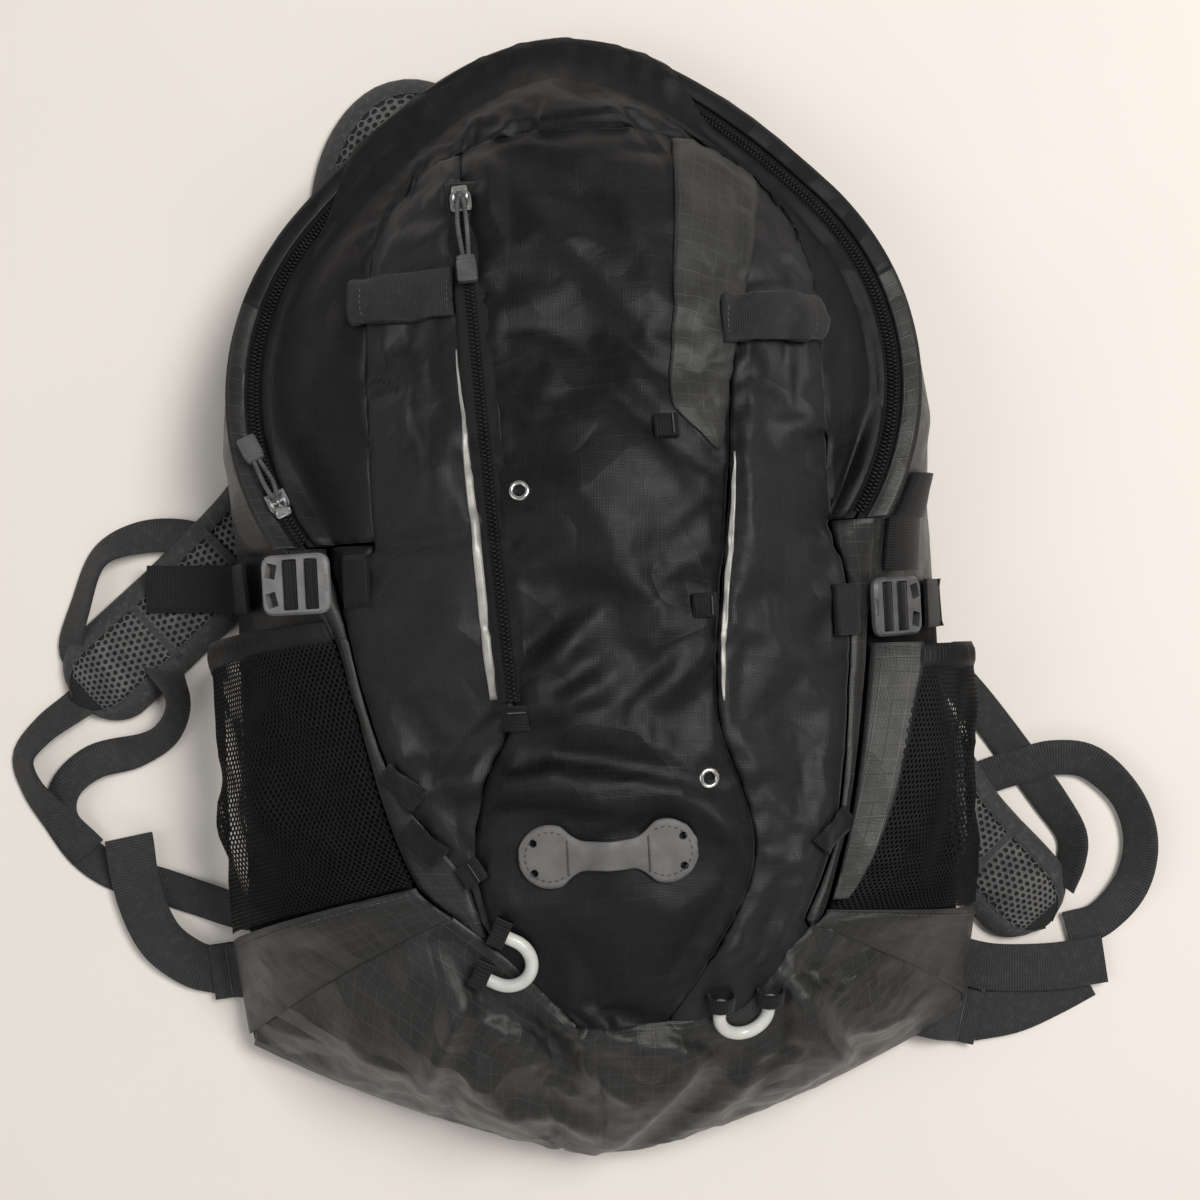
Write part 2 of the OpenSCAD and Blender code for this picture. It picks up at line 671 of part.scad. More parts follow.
// Tool tabs: sewn at the inner end, round at the free end
tab_root = [[-44.5, 121], [59, 105]];
function tab_row(s, v) =
  let (r = tab_w / 2, x = tab_root[s < 0 ? 0 : 1], end = tab_l - r + r * sqrt(1 - v * v * 0.96))
  [for (t = columns(s, 6)) [x[0] + s * end * t / kx, x[1] + v * r / ky]];
// The right tab lies over the accent patch
function tab_lift(s) = s < 0 ? 0.5 : patch_lift + 1.6;
module tool_tab(s) {
  color("black")
    shell([for (v = steps(-1, 1, 6)) [for (p = tab_row(s, v)) on(p[0], p[1])]], tab_lift(s), tab_t);
}
module tool_tab_left() {
  tool_tab(-1);
}
module tool_tab_right() {
  tool_tab(1);
}
eyelet_at = [[-21, 41], [42, -68]];
module eyelet_hole(p) {
  sit(p[0], p[1], -6)
    cylinder(d = eyelet_bore + 1.6, h = 12, $fn = 32);
}
module eyelet(p) {
  r = eyelet_bore / 2;
  sit(p[0], p[1])
    rotate_extrude()
      polygon([[r, -1.8], [r + 0.5, -1.8], [r + 0.5, 0.3], [eyelet_d / 2, 0.3],
        [eyelet_d / 2 - 0.4, 1.2], [r, 1.2]]);
}
module eyelet_upper() {
  color("silver")
    eyelet(eyelet_at[0]);
}
module eyelet_lower() {
  color("silver")
    eyelet(eyelet_at[1]);
}
// Gear loop: a fold of narrow webbing seen from its side
module gear_loop(x, y, turn) {
  sit(x, y, 0.4)
    rotate(turn)
      rotate([90, 0, 90])
        translate([0, 0, -gear_w / 2])
          linear_extrude(height = gear_w)
            difference() {
              union() {
                translate([2, 1.9])
                  circle(r = 1.9, $fn = 24);
                translate([-6, 0])
                  square([8, 3.8]);
              }
              translate([2, 1.9])
                circle(r = 0.8, $fn = 24);
              translate([-4.5, 1.1])
                square([6.5, 1.6]);
            }
}
module gear_loop_upper() {
  color("black")
    gear_loop(32, 62, 90);
}
module gear_loops_lower() {
  color("black") {
    gear_loop(42.5, -4, 90);
    gear_loop(-26.5, -43.5, 180);
    gear_loop(-48, -100, 120);
  }
}
// Light patch: two round ends and a neck that stands off the cloth
patch_at = [4, -96.5];
function patch_half(x) =
  let (c = patch_l / 2 - patch_r, d = abs(x) - c, e = c - 5)
  abs(x) > e ? max(1.5, sqrt(max(0, patch_r * patch_r - d * d)))
  : lerp(patch_neck / 2, sqrt(patch_r * patch_r - 25), pow(abs(x) / e, 4));
neck_rise = 2.6;
neck_half = patch_l / 2 - 2 * patch_r;
module light_patch() {
  color("darkgray")
    difference() {
      shell([for (v = [-1:0.5:1]) [for (i = [-14:14])
        let (x = patch_l / 2 * sin(i * 90 / 14), p = patch_at + [x / kx, v * patch_half(x) / ky])
        on(p[0], p[1]) + [0, 0, neck_rise * (1 - pow(min(1, abs(x) / neck_half), 2))]]], 0.4, 1.8);
      for (s = [-1, 1])
        for (q = [-1, 1])
          sit(patch_at[0] + s * (patch_l / 2 - 6) / kx, patch_at[1] + q * 5.5 / ky, -4)
            cylinder(d = 3, h = 12, $fn = 24);
    }
}
// Tool loops: a half ring of tube with a webbing foot at each end
module tool_loop() {
  ring = loop_r + tube_r;
  rotate(180)
    rotate_extrude(angle = 180)
      translate([ring, 0])
        circle(r = tube_r, $fn = 24);
  for (s = [-1, 1])
    translate([s * ring, 0, 0])
      rotate([-90, 0, 0])
        cylinder(r = tube_r - 0.2, h = 6, $fn = 24);
}
loop_at = [[-36, -133], [52, -160]];
loop_turn = [62, 0];
loop_lift = [tube_r + 0.6, tube_r + 0.2];
module tool_loop_left() {
  color("white")
    sit(loop_at[0][0], loop_at[0][1], loop_lift[0])
      rotate(loop_turn[0])
        tool_loop();
}
module tool_loop_right() {
  color("white")
    sit(loop_at[1][0], loop_at[1][1], loop_lift[1])
      rotate(loop_turn[1])
        tool_loop();
}

// Side pockets: a net, its hem and the cup below it
function net_line(k) = (floor(k / 2) + (k % 2) * strand_share) / (net_gaps + strand_share);
function net_faces(n) =
  let (w = n + 1, k = w * w)
  concat(
    [for (i = [0:n - 1]) for (j = [0:n - 1]) each
      let (a = i * w + j, b = a + w, c = a + 1, d = b + 1)
      i % 2 == 1 && j % 2 == 1
      ? [[c, a, k + a], [c, k + a, k + c], [b, d, k + d], [b, k + d, k + b],
         [a, b, k + b], [a, k + b, k + a], [d, c, k + c], [d, k + c, k + d]]
      : [[a, b, d], [a, d, c], [k + a, k + d, k + b], [k + a, k + c, k + d]]],
    [for (j = [0:n - 1]) each
      let (a = j, b = n * w + j)
      [[a, a + 1, k + a + 1], [a, k + a + 1, k + a], [b + 1, b, k + b], [b + 1, k + b, k + b + 1]]],
    [for (i = [0:n - 1]) each
      let (a = i * w, b = a + n)
      [[a + w, a, k + a], [a + w, k + a, k + a + w], [b, b + w, k + b + w], [b, k + b + w, k + b]]]);
module mesh_pocket(s) {
  n = 2 * net_gaps + 1;
  flat = [for (i = [0:n]) for (j = [0:n])
    let (v = 1 - net_line(i), u = net_line(s < 0 ? n - j : j))
    place(pocket_pt(s, u, v))];
  color("black")
    polyhedron(points = concat(flat, [for (p = flat) inset(p, cloth_t)]), faces = net_faces(n));
}
module mesh_pocket_left() {
  mesh_pocket(-1);
}
module mesh_pocket_right() {
  mesh_pocket(1);
}
module pocket_hem(s) {
  color("dimgray")
    shell([for (v = steps(-0.004, -0.09, 2))
      [for (u = columns(s, 12)) pocket_pt(s, u, v)]], -1.8, 2.4);
}
module pocket_hem_left() {
  pocket_hem(-1);
}
module pocket_hem_right() {
  pocket_hem(1);
}
module pocket_cup(s) {
  color("gray")
    shell([for (v = steps(1.4, 1.006, 5)) [for (u = columns(s, 8)) pocket_pt(s, u, v)]]);
}
module pocket_cup_left() {
  pocket_cup(-1);
}
module pocket_cup_right() {
  pocket_cup(1);
}

// Compression straps: webbing sewn to the front, a buckle, and the tail over the side
strap_y = [12, -9];
function strap_pt(s, x, y) =
  let (e = wing_x(s, y), b = [s * half(y), y, seam_m])
  s * x <= s * e ? on(x, y) : side_pt(s, wing_pt(s, y), b, 5, min(1, (x - e) / (b[0] - e)));
module strap_run(s, x0, x1, lift0, lift1, n) {
  y = strap_y[s < 0 ? 0 : 1];
  h = webbing_w / 2 / ky;
  shell([for (v = [-1, 1]) [for (i = [0:n])
    let (t = s < 0 ? 1 - i / n : i / n, lift = lift1 + (lift0 - lift1) * pow(1 - t, 2))
    inset(strap_pt(s, lerp(x0, x1, t), y + v * h), -lift)]], 0, webbing_t);
}
module compression_straps() {
  color("black") {
    strap_run(-1, -80, -90.5, 0.6, 0.6, 3);
    strap_run(-1, -124, -150, 7, 0.9, 8);
    strap_run(1, 95, 105.5, 0.8, 0.8, 3);
    strap_run(1, 132.5, 152, 2.5, 0.9, 6);
  }
}
// Buckle frame at its sewn end: local X runs outward along the strap, Z off the side
buckle_root = [-93.5, 108.5];
buckle_reach = 0.55;
buckle_lift = [5.4, 4.4];
module at_buckle(s) {
  k = s < 0 ? 0 : 1;
  y = strap_y[k];
  a = place(strap_pt(s, buckle_root[k], y));
  b = place(strap_pt(s, buckle_root[k] + s * buckle_l * buckle_reach, y));
  translate(inset(a, -buckle_lift[k]))
    rotate([0, atan2(a[2] - b[2], abs(b[0] - a[0])) * s, 0])
      children();
}
module buckle(s) {
  w = webbing_w + 3.4;
  at_buckle(s)
    scale([s, 1, 1])
      translate([0, -w / 2, 0]) {
        difference() {
          translate([-2, 0, 0])
            cube([buckle_l, w, buckle_t]);
          translate([2, 1.7, -1])
            cube([6, webbing_w, buckle_t + 2]);
          translate([11, 1.7, -1])
            cube([6.5, webbing_w, buckle_t + 2]);
          translate([20.5, 3, -1])
            cube([4, 6, buckle_t + 2]);
          translate([20.5, w - 9, -1])
            cube([4, 6, buckle_t + 2]);
        }
        translate([2.4, 1.7 + 0.4, 0.6])
          cube([5.2, webbing_w - 0.8, buckle_t]);
        translate([11.4, 1.7 + 0.4, 0.6])
          cube([5.7, webbing_w - 0.8, buckle_t]);
        translate([7, 1.7 + 0.4, buckle_t - 0.1])
          cube([5, webbing_w - 0.8, 0.7]);
      }
}
module compression_buckle_left() {
  color("darkgray")
    buckle(-1);
}
module compression_buckle_right() {
  color("dimgray")
    buckle(1);
}
tail_y = [7, 42];
module stowed_tail() {
  color("black")
    shell([for (y = steps(tail_y[0], tail_y[1], 6))
      let (e = y < fold_y ? wing_pt(1, y) : [zip_u(in_plane(y), zip_hem), y, plane_z(y)])
      [for (j = [0:3]) side_pt(1, e, [half(y), y, seam_m], 5, 0.25 + 0.1 * j)]], 1.2, webbing_t);
}
// Folded webbing tabs sewn under the base corners, each open at its outer end for a strap
module corner_tab(at, turn) {
  w = webbing_w + 3;
  root = back_pad_t + 0.1;
  translate([at[0] * kx, at[1] * ky, 0])
    rotate(turn)
      translate([0, w / 2, 0])
        rotate([90, 0, 0])
          linear_extrude(height = w)
            polygon([[-20, root - 1.8], [-20, root], [-11, root], [-2, 6], [6, 6], [6, 4.6], [0, 4.6],
              [0, 1.8], [6, 1.8], [6, floor_gap], [-4, floor_gap], [-13, root - 1.8]]);
}
module corner_tabs() {
  color("dimgray") {
    corner_tab([-162, -150], 185);
    corner_tab([152, -186], -15);
  }
}

// Shoulder straps: a crowned pad with drawn-in sides and a sewn cross channel
left_pad = [[-42, 205], [-66, 206], [-82, 190], [-92, 155], [-110, 100], [-128, 52], [-160, 18],
  [-205, -20]];
right_pad = [[42, 205], [70, 194], [92, 152], [107, 85], [118, 20], [130, -50], [150, -98], [178, -134]];
pad_section = [[-0.86, 0], [-1, 0.35], [-0.82, 0.74], [-0.45, 0.94], [0, 1], [0.45, 0.94], [0.82, 0.74],
  [1, 0.35], [0.86, 0]];
module shoulder_pad(route) {
  path = curve([for (p = route) [p[0] * kx, p[1] * ky, 0]], 3);
  n = len(path) - 1;
  color("gray")
    sweep([for (i = [0:n + 3])
      let (k = min(i, n), d = heading(path, k), side = [-d[1], d[0], 0],
           over = max(0, i - n), r = pad_w / 2,
           p = path[k] + d * r * 0.9 * sin(over * 28),
           w = r * (over > 0 ? cos(over * 28) : i < 3 ? 0.72 + 0.09 * i : 1),
           t = pad_t * (i == n - 3 ? 0.78 : over == 3 ? 0.5 : i == 0 ? 0.6 : 1))
      [for (q = pad_section) p - side * w * q[0] + [0, 0, floor_gap + q[1] * t]]]);
}
module shoulder_strap_left() {
  shoulder_pad(left_pad);
}
module shoulder_strap_right() {
  shoulder_pad(right_pad);
}
// Webbing on the floor: routes of x, y and layer, chosen by hand
layer = webbing_t + 0.5;
module floor_webbing(route, w) {
  ribbon([for (p = route) [p[0] * kx, p[1] * ky, floor_gap + p[2] * layer]], w);
}
module lower_webbing_left() {
  color("dimgray") {
    floor_webbing([[-175.6, 37, 0], [-190, 40.5, 0], [-204, 36, 0], [-218, 24, 0], [-231, 2, 0]], narrow_w);
    floor_webbing([[-220.5, -33, 0], [-234, -43, 0], [-243, -54, 0], [-240, -67, 0], [-231, -81, 0],
      [-221, -96, 0], [-208, -106, 0], [-190, -112, 0], [-172, -119, 0.4], [-156, -124, 3],
      [-143, -126, 4.8]], narrow_w);
    floor_webbing([[-176, -33, 1], [-182, -47, 1], [-197, -54, 1], [-214, -58, 1], [-226, -68, 1],
      [-228, -82, 1], [-218, -96, 1]], narrow_w);
  }
}
module lower_webbing_right() {
  color("dimgray") {
    floor_webbing([[160, -34, 0], [172, -52, 0], [186, -72, 0], [201, -94, 0], [213, -112, 0],
      [215, -128, 0]], narrow_w);
    floor_webbing([[169.5, -84, 1], [182, -81, 1], [196, -78, 1], [212, -81, 1], [226, -96, 1],
      [231, -115, 1], [226, -134, 1], [213, -148, 1], [198, -152, 1]], narrow_w);
  }
}
module waist_straps() {
  color("dimgray") {
    floor_webbing([[-200, -90, 2], [-198, -113, 2], [-190, -134, 2], [-177, -146, 1.3], [-165, -150, 1]],
      webbing_w);
    floor_webbing([[150, -162, 2], [166, -166, 2], [190, -167, 2], [213, -165, 2]], webbing_w);
    floor_webbing([[205, -172, 0], [190, -179, 0.2], [173, -185, 1], [155, -187.5, 1]], webbing_w);
  }
}

back_panel();
back_pad();
hydration_sleeve();
reservoir();
reservoir_cap();
reservoir_outlet();
reservoir_hanger();
hose_port();
haul_loop();
top_gusset();
side_panel_left();
side_panel_right();
side_wall_left();
side_wall_right();
wing_left();
wing_right();
front_lower_left();
front_lower_center();
front_lower_right();
base_panel();
front_band();
front_upper_left();
front_upper_center();
front_upper_right();
accent_patch();
main_zip_outer();
main_zip_inner();
main_zip_slider();
main_zip_pull();
pocket_zip_upper();
pocket_zip_lower();
pocket_zip_slider();
pocket_zip_pull();
piping_upper();
piping_lower();
tool_tab_left();
tool_tab_right();
eyelet_upper();
eyelet_lower();
gear_loop_upper();
gear_loops_lower();
light_patch();
tool_loop_left();
tool_loop_right();
mesh_pocket_left();
mesh_pocket_right();
pocket_hem_left();
pocket_hem_right();
pocket_cup_left();
pocket_cup_right();
compression_straps();
compression_buckle_left();
compression_buckle_right();
stowed_tail();
corner_tabs();
shoulder_strap_left();
shoulder_strap_right();
lower_webbing_left();
lower_webbing_right();
waist_straps();
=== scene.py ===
import bpy
import math
import numpy as np
from mathutils import Matrix, Vector


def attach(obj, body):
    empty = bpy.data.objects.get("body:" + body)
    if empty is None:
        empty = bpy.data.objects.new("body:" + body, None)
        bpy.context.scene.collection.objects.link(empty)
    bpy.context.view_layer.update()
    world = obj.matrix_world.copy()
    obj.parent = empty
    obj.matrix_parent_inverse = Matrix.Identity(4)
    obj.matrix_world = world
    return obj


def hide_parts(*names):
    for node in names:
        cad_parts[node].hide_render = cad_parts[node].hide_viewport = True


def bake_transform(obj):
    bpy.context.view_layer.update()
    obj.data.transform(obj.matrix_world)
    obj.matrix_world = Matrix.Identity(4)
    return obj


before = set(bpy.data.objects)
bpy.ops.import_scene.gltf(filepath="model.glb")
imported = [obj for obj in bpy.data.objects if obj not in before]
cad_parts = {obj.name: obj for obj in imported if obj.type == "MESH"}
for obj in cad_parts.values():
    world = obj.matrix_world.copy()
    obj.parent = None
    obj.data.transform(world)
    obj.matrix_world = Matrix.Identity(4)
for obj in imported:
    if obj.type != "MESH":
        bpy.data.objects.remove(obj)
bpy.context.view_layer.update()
bpy.ops.object.select_all(action="DESELECT")
scene = bpy.context.scene
scene.view_settings.view_transform = "Standard"
mm = 0.001  # shapes are worked out in mm and written to the meshes in metres
bothSides = ((-1, "left"), (1, "right"))

# Camera straight above the pack, turned as the pack leans in the photo
cameraSet = {"place": (6, -0.3, 800), "turn": -3.1, "lens": 55.8, "sensor": 36, "clip": 10}
bpy.ops.object.camera_add(location=[c * mm for c in cameraSet["place"]],
                          rotation=(0, 0, math.radians(cameraSet["turn"])))
scene.camera = bpy.context.object
scene.camera.data.lens = cameraSet["lens"]
scene.camera.data.sensor_width = cameraSet["sensor"]
scene.camera.data.clip_start = cameraSet["clip"] * mm

print("stage: materials")


def newMaterial(name):
    mat = bpy.data.materials.new(name)
    mat.use_nodes = True
    return mat, mat.node_tree, mat.node_tree.nodes["Principled BSDF"]


def fill(tree, n, **inputs):
    # each socket gets a link or a plain value; i0, i1 are sockets by number
    for key, value in inputs.items():
        numbered = key[0] == "i" and key[1:].isdigit()
        socket = n.inputs[int(key[1:])] if numbered else n.inputs[key.replace("_", " ")]
        if isinstance(value, bpy.types.NodeSocket):
            tree.links.new(value, socket)
        else:
            socket.default_value = value


def node(tree, kind, settings=None, **inputs):
    n = tree.nodes.new(kind)
    for key, value in (settings or {}).items():
        setattr(n, key, value)
    fill(tree, n, **inputs)
    return n


def maths(tree, operation, a, b=0.0):
    return node(tree, "ShaderNodeMath", {"operation": operation}, i0=a, i1=b).outputs[0]


def times(tree, a, b):
    return maths(tree, "MULTIPLY", a, b)


def plus(tree, a, b):
    return maths(tree, "ADD", a, b)


def spread(tree, value, low, high, outLow, outHigh):
    return node(tree, "ShaderNodeMapRange", None, Value=value, From_Min=low, From_Max=high,
                To_Min=outLow, To_Max=outHigh).outputs[0]


def mixed(tree, factor, a, b):
    return node(tree, "ShaderNodeMix", {"data_type": "RGBA"}, Factor=factor, i6=a, i7=b).outputs[2]


def tone(r, g, b):
    # sRGB 0-255 to linear
    shares = [c / 255 for c in (r, g, b)]
    return tuple(c / 12.92 if c <= 0.04045 else ((c + 0.055) / 1.055) ** 2.4 for c in shares) + (1.0,)


def scaled(colour, k):
    return tuple(c * k for c in colour[:3]) + (1.0,)


def flatCoords(tree):
    # a piece's own flat pattern in metres, with its two ways apart
    at = node(tree, "ShaderNodeUVMap", {"uv_map": "flat"}).outputs[0]
    ways = node(tree, "ShaderNodeSeparateXYZ", None, Vector=at).outputs
    return at, ways[0], ways[1]


def placeCoords(tree):
    return node(tree, "ShaderNodeTexCoord").outputs["Object"]


def lineMask(tree, value, step, width):
    # 1 on lines every step metres
    return spread(tree, maths(tree, "PINGPONG", value, step / 2), 0, width, 1, 0)


def noiseOf(tree, vector, scale, detail=3.0, rough=0.5):
    return node(tree, "ShaderNodeTexNoise", None, Vector=vector, Scale=scale, Detail=detail,
                Roughness=rough).outputs[0]


def bumped(tree, bsdf, height, strength, distance, under=None):
    n = node(tree, "ShaderNodeBump", None, Strength=strength, Distance=distance, Height=height)
    if under:
        fill(tree, n, Normal=under)
    fill(tree, bsdf, Normal=n.outputs[0])


weaveSet = {"grid": 0.0058, "gridThread": 0.00032, "weave": 0.00055, "weaveThread": 0.000275,
            "height": 0.00022, "strength": 0.45}


def clothMaterial(name, colour, light, rough, grid, sheen, gloss, crease=0.0):
    # ripstop grid, fine weave, clouds and dust
    mat, tree, bsdf = newMaterial(name)
    at, across, along = flatCoords(tree)
    thread, weave = [[lineMask(tree, way, weaveSet[step], weaveSet[width]) for way in (across, along)]
                     for step, width in (("grid", "gridThread"), ("weave", "weaveThread"))]
    thread, weave = maths(tree, "MAXIMUM", *thread), plus(tree, *weave)
    cloud = noiseOf(tree, at, 42, 4)
    dust = spread(tree, noiseOf(tree, at, 900, 2), 0.55, 0.85, 0, 0.2)
    dark, pale = (scaled(tone(*colour), k) for k in (0.86, 1.14))
    shade = mixed(tree, spread(tree, cloud, 0.35, 0.68, 0, 1), dark, pale)
    shade = mixed(tree, dust, shade, tone(*light))
    shade = mixed(tree, times(tree, thread, grid), shade, tone(*light))
    uneven = spread(tree, noiseOf(tree, at, 110, 3), 0.3, 0.7, rough - 0.07, rough + 0.07)
    fill(tree, bsdf, Base_Color=shade, Roughness=uneven, Sheen_Weight=sheen, Sheen_Roughness=0.4,
         Specular_IOR_Level=gloss)
    raised = plus(tree, times(tree, thread, grid * 2.2), times(tree, cloud, 1.6))
    height = plus(tree, times(tree, weave, 0.35), raised)
    wide = None
    if crease:  # crumples: folded noise, strong in some places and faint in others
        ridge = maths(tree, "PINGPONG", times(tree, noiseOf(tree, at, 15, 1.4, 0.4), 5.0), 0.5)
        crumple = plus(tree, ridge, times(tree, noiseOf(tree, at, 68, 2), 0.22))
        crumple = times(tree, crumple, spread(tree, noiseOf(tree, at, 8, 1), 0.35, 0.62, 0.25, 1))
        wide = node(tree, "ShaderNodeBump", None, Strength=1.0, Distance=crease, Height=crumple).outputs[0]
    bumped(tree, bsdf, height, weaveSet["strength"], weaveSet["height"], wide)
    return mat


def webbingMaterial(name, colour, light, rib):
    # cross ribs with the warp showing on them
    mat, tree, bsdf = newMaterial(name)
    at, across, along = flatCoords(tree)
    ribs = lineMask(tree, along, rib, rib * 0.5)
    warp = lineMask(tree, across, 0.0016, 0.0008)
    wear = spread(tree, noiseOf(tree, at, 260, 4, 0.65), 0.5, 0.9, 0, 0.4)
    # rib tops are painted lighter and the gaps between them darker: painted highlight and painted shade of
    # the ribs
    shade = mixed(tree, ribs, scaled(tone(*colour), 0.55), scaled(tone(*colour), 1.18))
    fill(tree, bsdf, Base_Color=mixed(tree, wear, shade, tone(*light)), Roughness=0.66,
         Specular_IOR_Level=0.25, Sheen_Weight=0.08)
    bumped(tree, bsdf, plus(tree, ribs, times(tree, times(tree, warp, ribs), 0.6)), 0.7, 0.0003)
    return mat


def twillMaterial(name, colour, light):
    # herringbone: slanted ribs that turn over every few mm
    mat, tree, bsdf = newMaterial(name)
    at, across, along = flatCoords(tree)
    ribs = lineMask(tree, plus(tree, along, maths(tree, "PINGPONG", across, 0.0021)), 0.00115, 0.00058)
    wear = spread(tree, noiseOf(tree, at, 320, 3), 0.5, 0.8, 0, 0.5)
    # rib tops are painted lighter and the gaps between them darker: painted highlight and painted shade of
    # the ribs
    shade = mixed(tree, ribs, scaled(tone(*colour), 0.6), scaled(tone(*colour), 1.2))
    fill(tree, bsdf, Base_Color=mixed(tree, wear, shade, tone(*light)), Roughness=0.74,
         Specular_IOR_Level=0.25, Sheen_Weight=0.08)
    bumped(tree, bsdf, ribs, 0.6, 0.00025)
    return mat


def plainMaterial(name, colour, light, rough, metal=0.0, grain=900, bump=0.06, depth=0.0001, gloss=0.5,
                  **more):
    # moulded plastic, rubber and metal: cloudy colour, fine grain and uneven gloss
    mat, tree, bsdf = newMaterial(name)
    at = placeCoords(tree)
    cloud = spread(tree, noiseOf(tree, at, 130, 4), 0.35, 0.7, 0, 1)
    fine = noiseOf(tree, at, grain, 3, 0.6)
    uneven = spread(tree, fine, 0.3, 0.7, rough - 0.08, rough + 0.08)
    fill(tree, bsdf, Base_Color=mixed(tree, cloud, tone(*colour), tone(*light)), Roughness=uneven,
         Metallic=metal, Specular_IOR_Level=gloss, **more)
    bumped(tree, bsdf, fine, bump, depth)
    return mat


# tone, lighter thread, roughness, ripstop grid, sheen, gloss and depth of the crumples
clothSet = {
    "black_nylon": ((10, 10, 13), (46, 46, 50), 0.5, 0.13, 0.03, 0.31, 0.0032),
    # the left and right front panels are the black nylon painted lighter, with more sheen and gloss: painted
    # sheen where they slope away from the middle
    "black_nylon_painted_sheen": ((24, 24, 27), (60, 60, 64), 0.5, 0.12, 0.06, 0.34, 0.0032),
    "pocket_lining": ((7, 7, 8), (24, 24, 25), 0.7, 0.0, 0.0, 0.1),
    "grey_ripstop": ((35, 35, 35), (88, 87, 85), 0.4, 0.24, 0.04, 0.4, 0.0045),
    "accent_ripstop": ((46, 46, 45), (96, 95, 93), 0.46, 0.2, 0.04, 0.34, 0.0014),
    "lining": ((48, 48, 50), (92, 92, 92), 0.55, 0.1, 0.15, 0.3),
    "hem_cloth": ((19, 19, 20), (50, 50, 50), 0.55, 0.0, 0.05, 0.22)}
blackNylon, sheenLitNylon, pocketLining, greyRipstop, accentRipstop, liningCloth, hemCloth = (
    clothMaterial(name, *row) for name, row in clothSet.items())

# tone, worn tone and step of the ribs
webbingTones = {
    "grey_webbing": ((54, 54, 55), (92, 91, 90), 0.0011),
    "black_webbing": ((18, 18, 19), (46, 45, 45), 0.0011),
    "tab_webbing": ((40, 40, 41), (76, 75, 74), 0.0009),
    "zip_tape": ((22, 22, 23), (44, 44, 44), 0.0007)}
greyWebbing, blackWebbing, tabWebbing, zipTape = (
    webbingMaterial(name, *row) for name, row in webbingTones.items())
bindTwill = twillMaterial("binding_twill", (62, 62, 63), (98, 97, 96))

netYarn = plainMaterial("net_yarn", (9, 9, 10), (18, 18, 19), 0.6, grain=2600, gloss=0.14)
meshKnit = plainMaterial("spacer_mesh", (74, 74, 74), (100, 99, 98), 0.82, grain=2200, bump=0.5, depth=0.0004)
meshFoam = plainMaterial("mesh_core", (22, 22, 23), (34, 34, 34), 0.9, grain=1500, bump=0.4, depth=0.0004)
sliderMetal = plainMaterial("slider_metal", (176, 177, 178), (205, 205, 204), 0.34, metal=1.0, grain=700)
nickel = plainMaterial("nickel", (196, 195, 192), (222, 221, 218), 0.26, metal=1.0, grain=500, bump=0.03)
toothPlastic = plainMaterial("zip_tooth", (13, 13, 14), (24, 24, 25), 0.5, gloss=0.25)
cordGrey = plainMaterial("pull_cord", (62, 62, 63), (98, 97, 96), 0.75, grain=1800, bump=0.5, depth=0.0003)
gripGrey = plainMaterial("pull_grip", (70, 70, 72), (88, 88, 89), 0.5)
buckleLight = plainMaterial("buckle_light", (104, 104, 105), (124, 123, 123), 0.5, grain=1200, bump=0.1)
buckleDark = plainMaterial("buckle_dark", (72, 72, 74), (98, 98, 99), 0.4, grain=1200, bump=0.1)
patchRubber = plainMaterial("patch_rubber", (94, 93, 92), (108, 107, 106), 0.6, grain=1400, bump=0.25,
                            depth=0.0002)
tubeWhite = plainMaterial("tube_white", (196, 198, 192), (216, 217, 211), 0.35, grain=500, Coat_Weight=0.25,
                          Subsurface_Weight=0.25, Subsurface_Scale=0.002)
reflective = plainMaterial("reflective", (150, 149, 145), (172, 170, 165), 0.45, metal=0.25, grain=3000,
                           bump=0.3, depth=0.00015)
stitchThread = plainMaterial("thread", (62, 62, 62), (92, 91, 90), 0.7, grain=2500, bump=0.3)
capPlastic = plainMaterial("cap_plastic", (40, 78, 128), (58, 98, 148), 0.4, bump=0.08)
portRubber = plainMaterial("port_rubber", (36, 36, 37), (56, 56, 57), 0.65, grain=1300, bump=0.3)
bladderFilm = plainMaterial("bladder_film", (172, 190, 204), (196, 210, 220), 0.2, grain=300, bump=0.15,
                            depth=0.0006, Coat_Weight=0.4, Transmission_Weight=0.45)

print("stage: floor and light")
floorSet = {"size": 6.0, "under": 0.2, "tone": (236, 230, 223), "rough": 0.9, "gloss": 0.15}
bpy.ops.mesh.primitive_grid_add(x_subdivisions=2, y_subdivisions=2, size=floorSet["size"], location=(0, 0, 0))
floor = bpy.context.object
floor.name = "studio_floor"
floor.data.transform(Matrix.Translation((0, 0, -floorSet["under"] * mm)))
floorMat, floorTree, floorBsdf = newMaterial("floor_cloth")
floorAt = placeCoords(floorTree)
floorShade = mixed(floorTree, spread(floorTree, noiseOf(floorTree, floorAt, 6, 2), 0.3, 0.7, 0, 1),
                   tone(*floorSet["tone"]), scaled(tone(*floorSet["tone"]), 1.03))
fill(floorTree, floorBsdf, Base_Color=floorShade, Roughness=floorSet["rough"],
     Specular_IOR_Level=floorSet["gloss"])
bumped(floorTree, floorBsdf, noiseOf(floorTree, floorAt, 420, 3), 0.05, 0.0004)
floor.data.materials.append(floorMat)

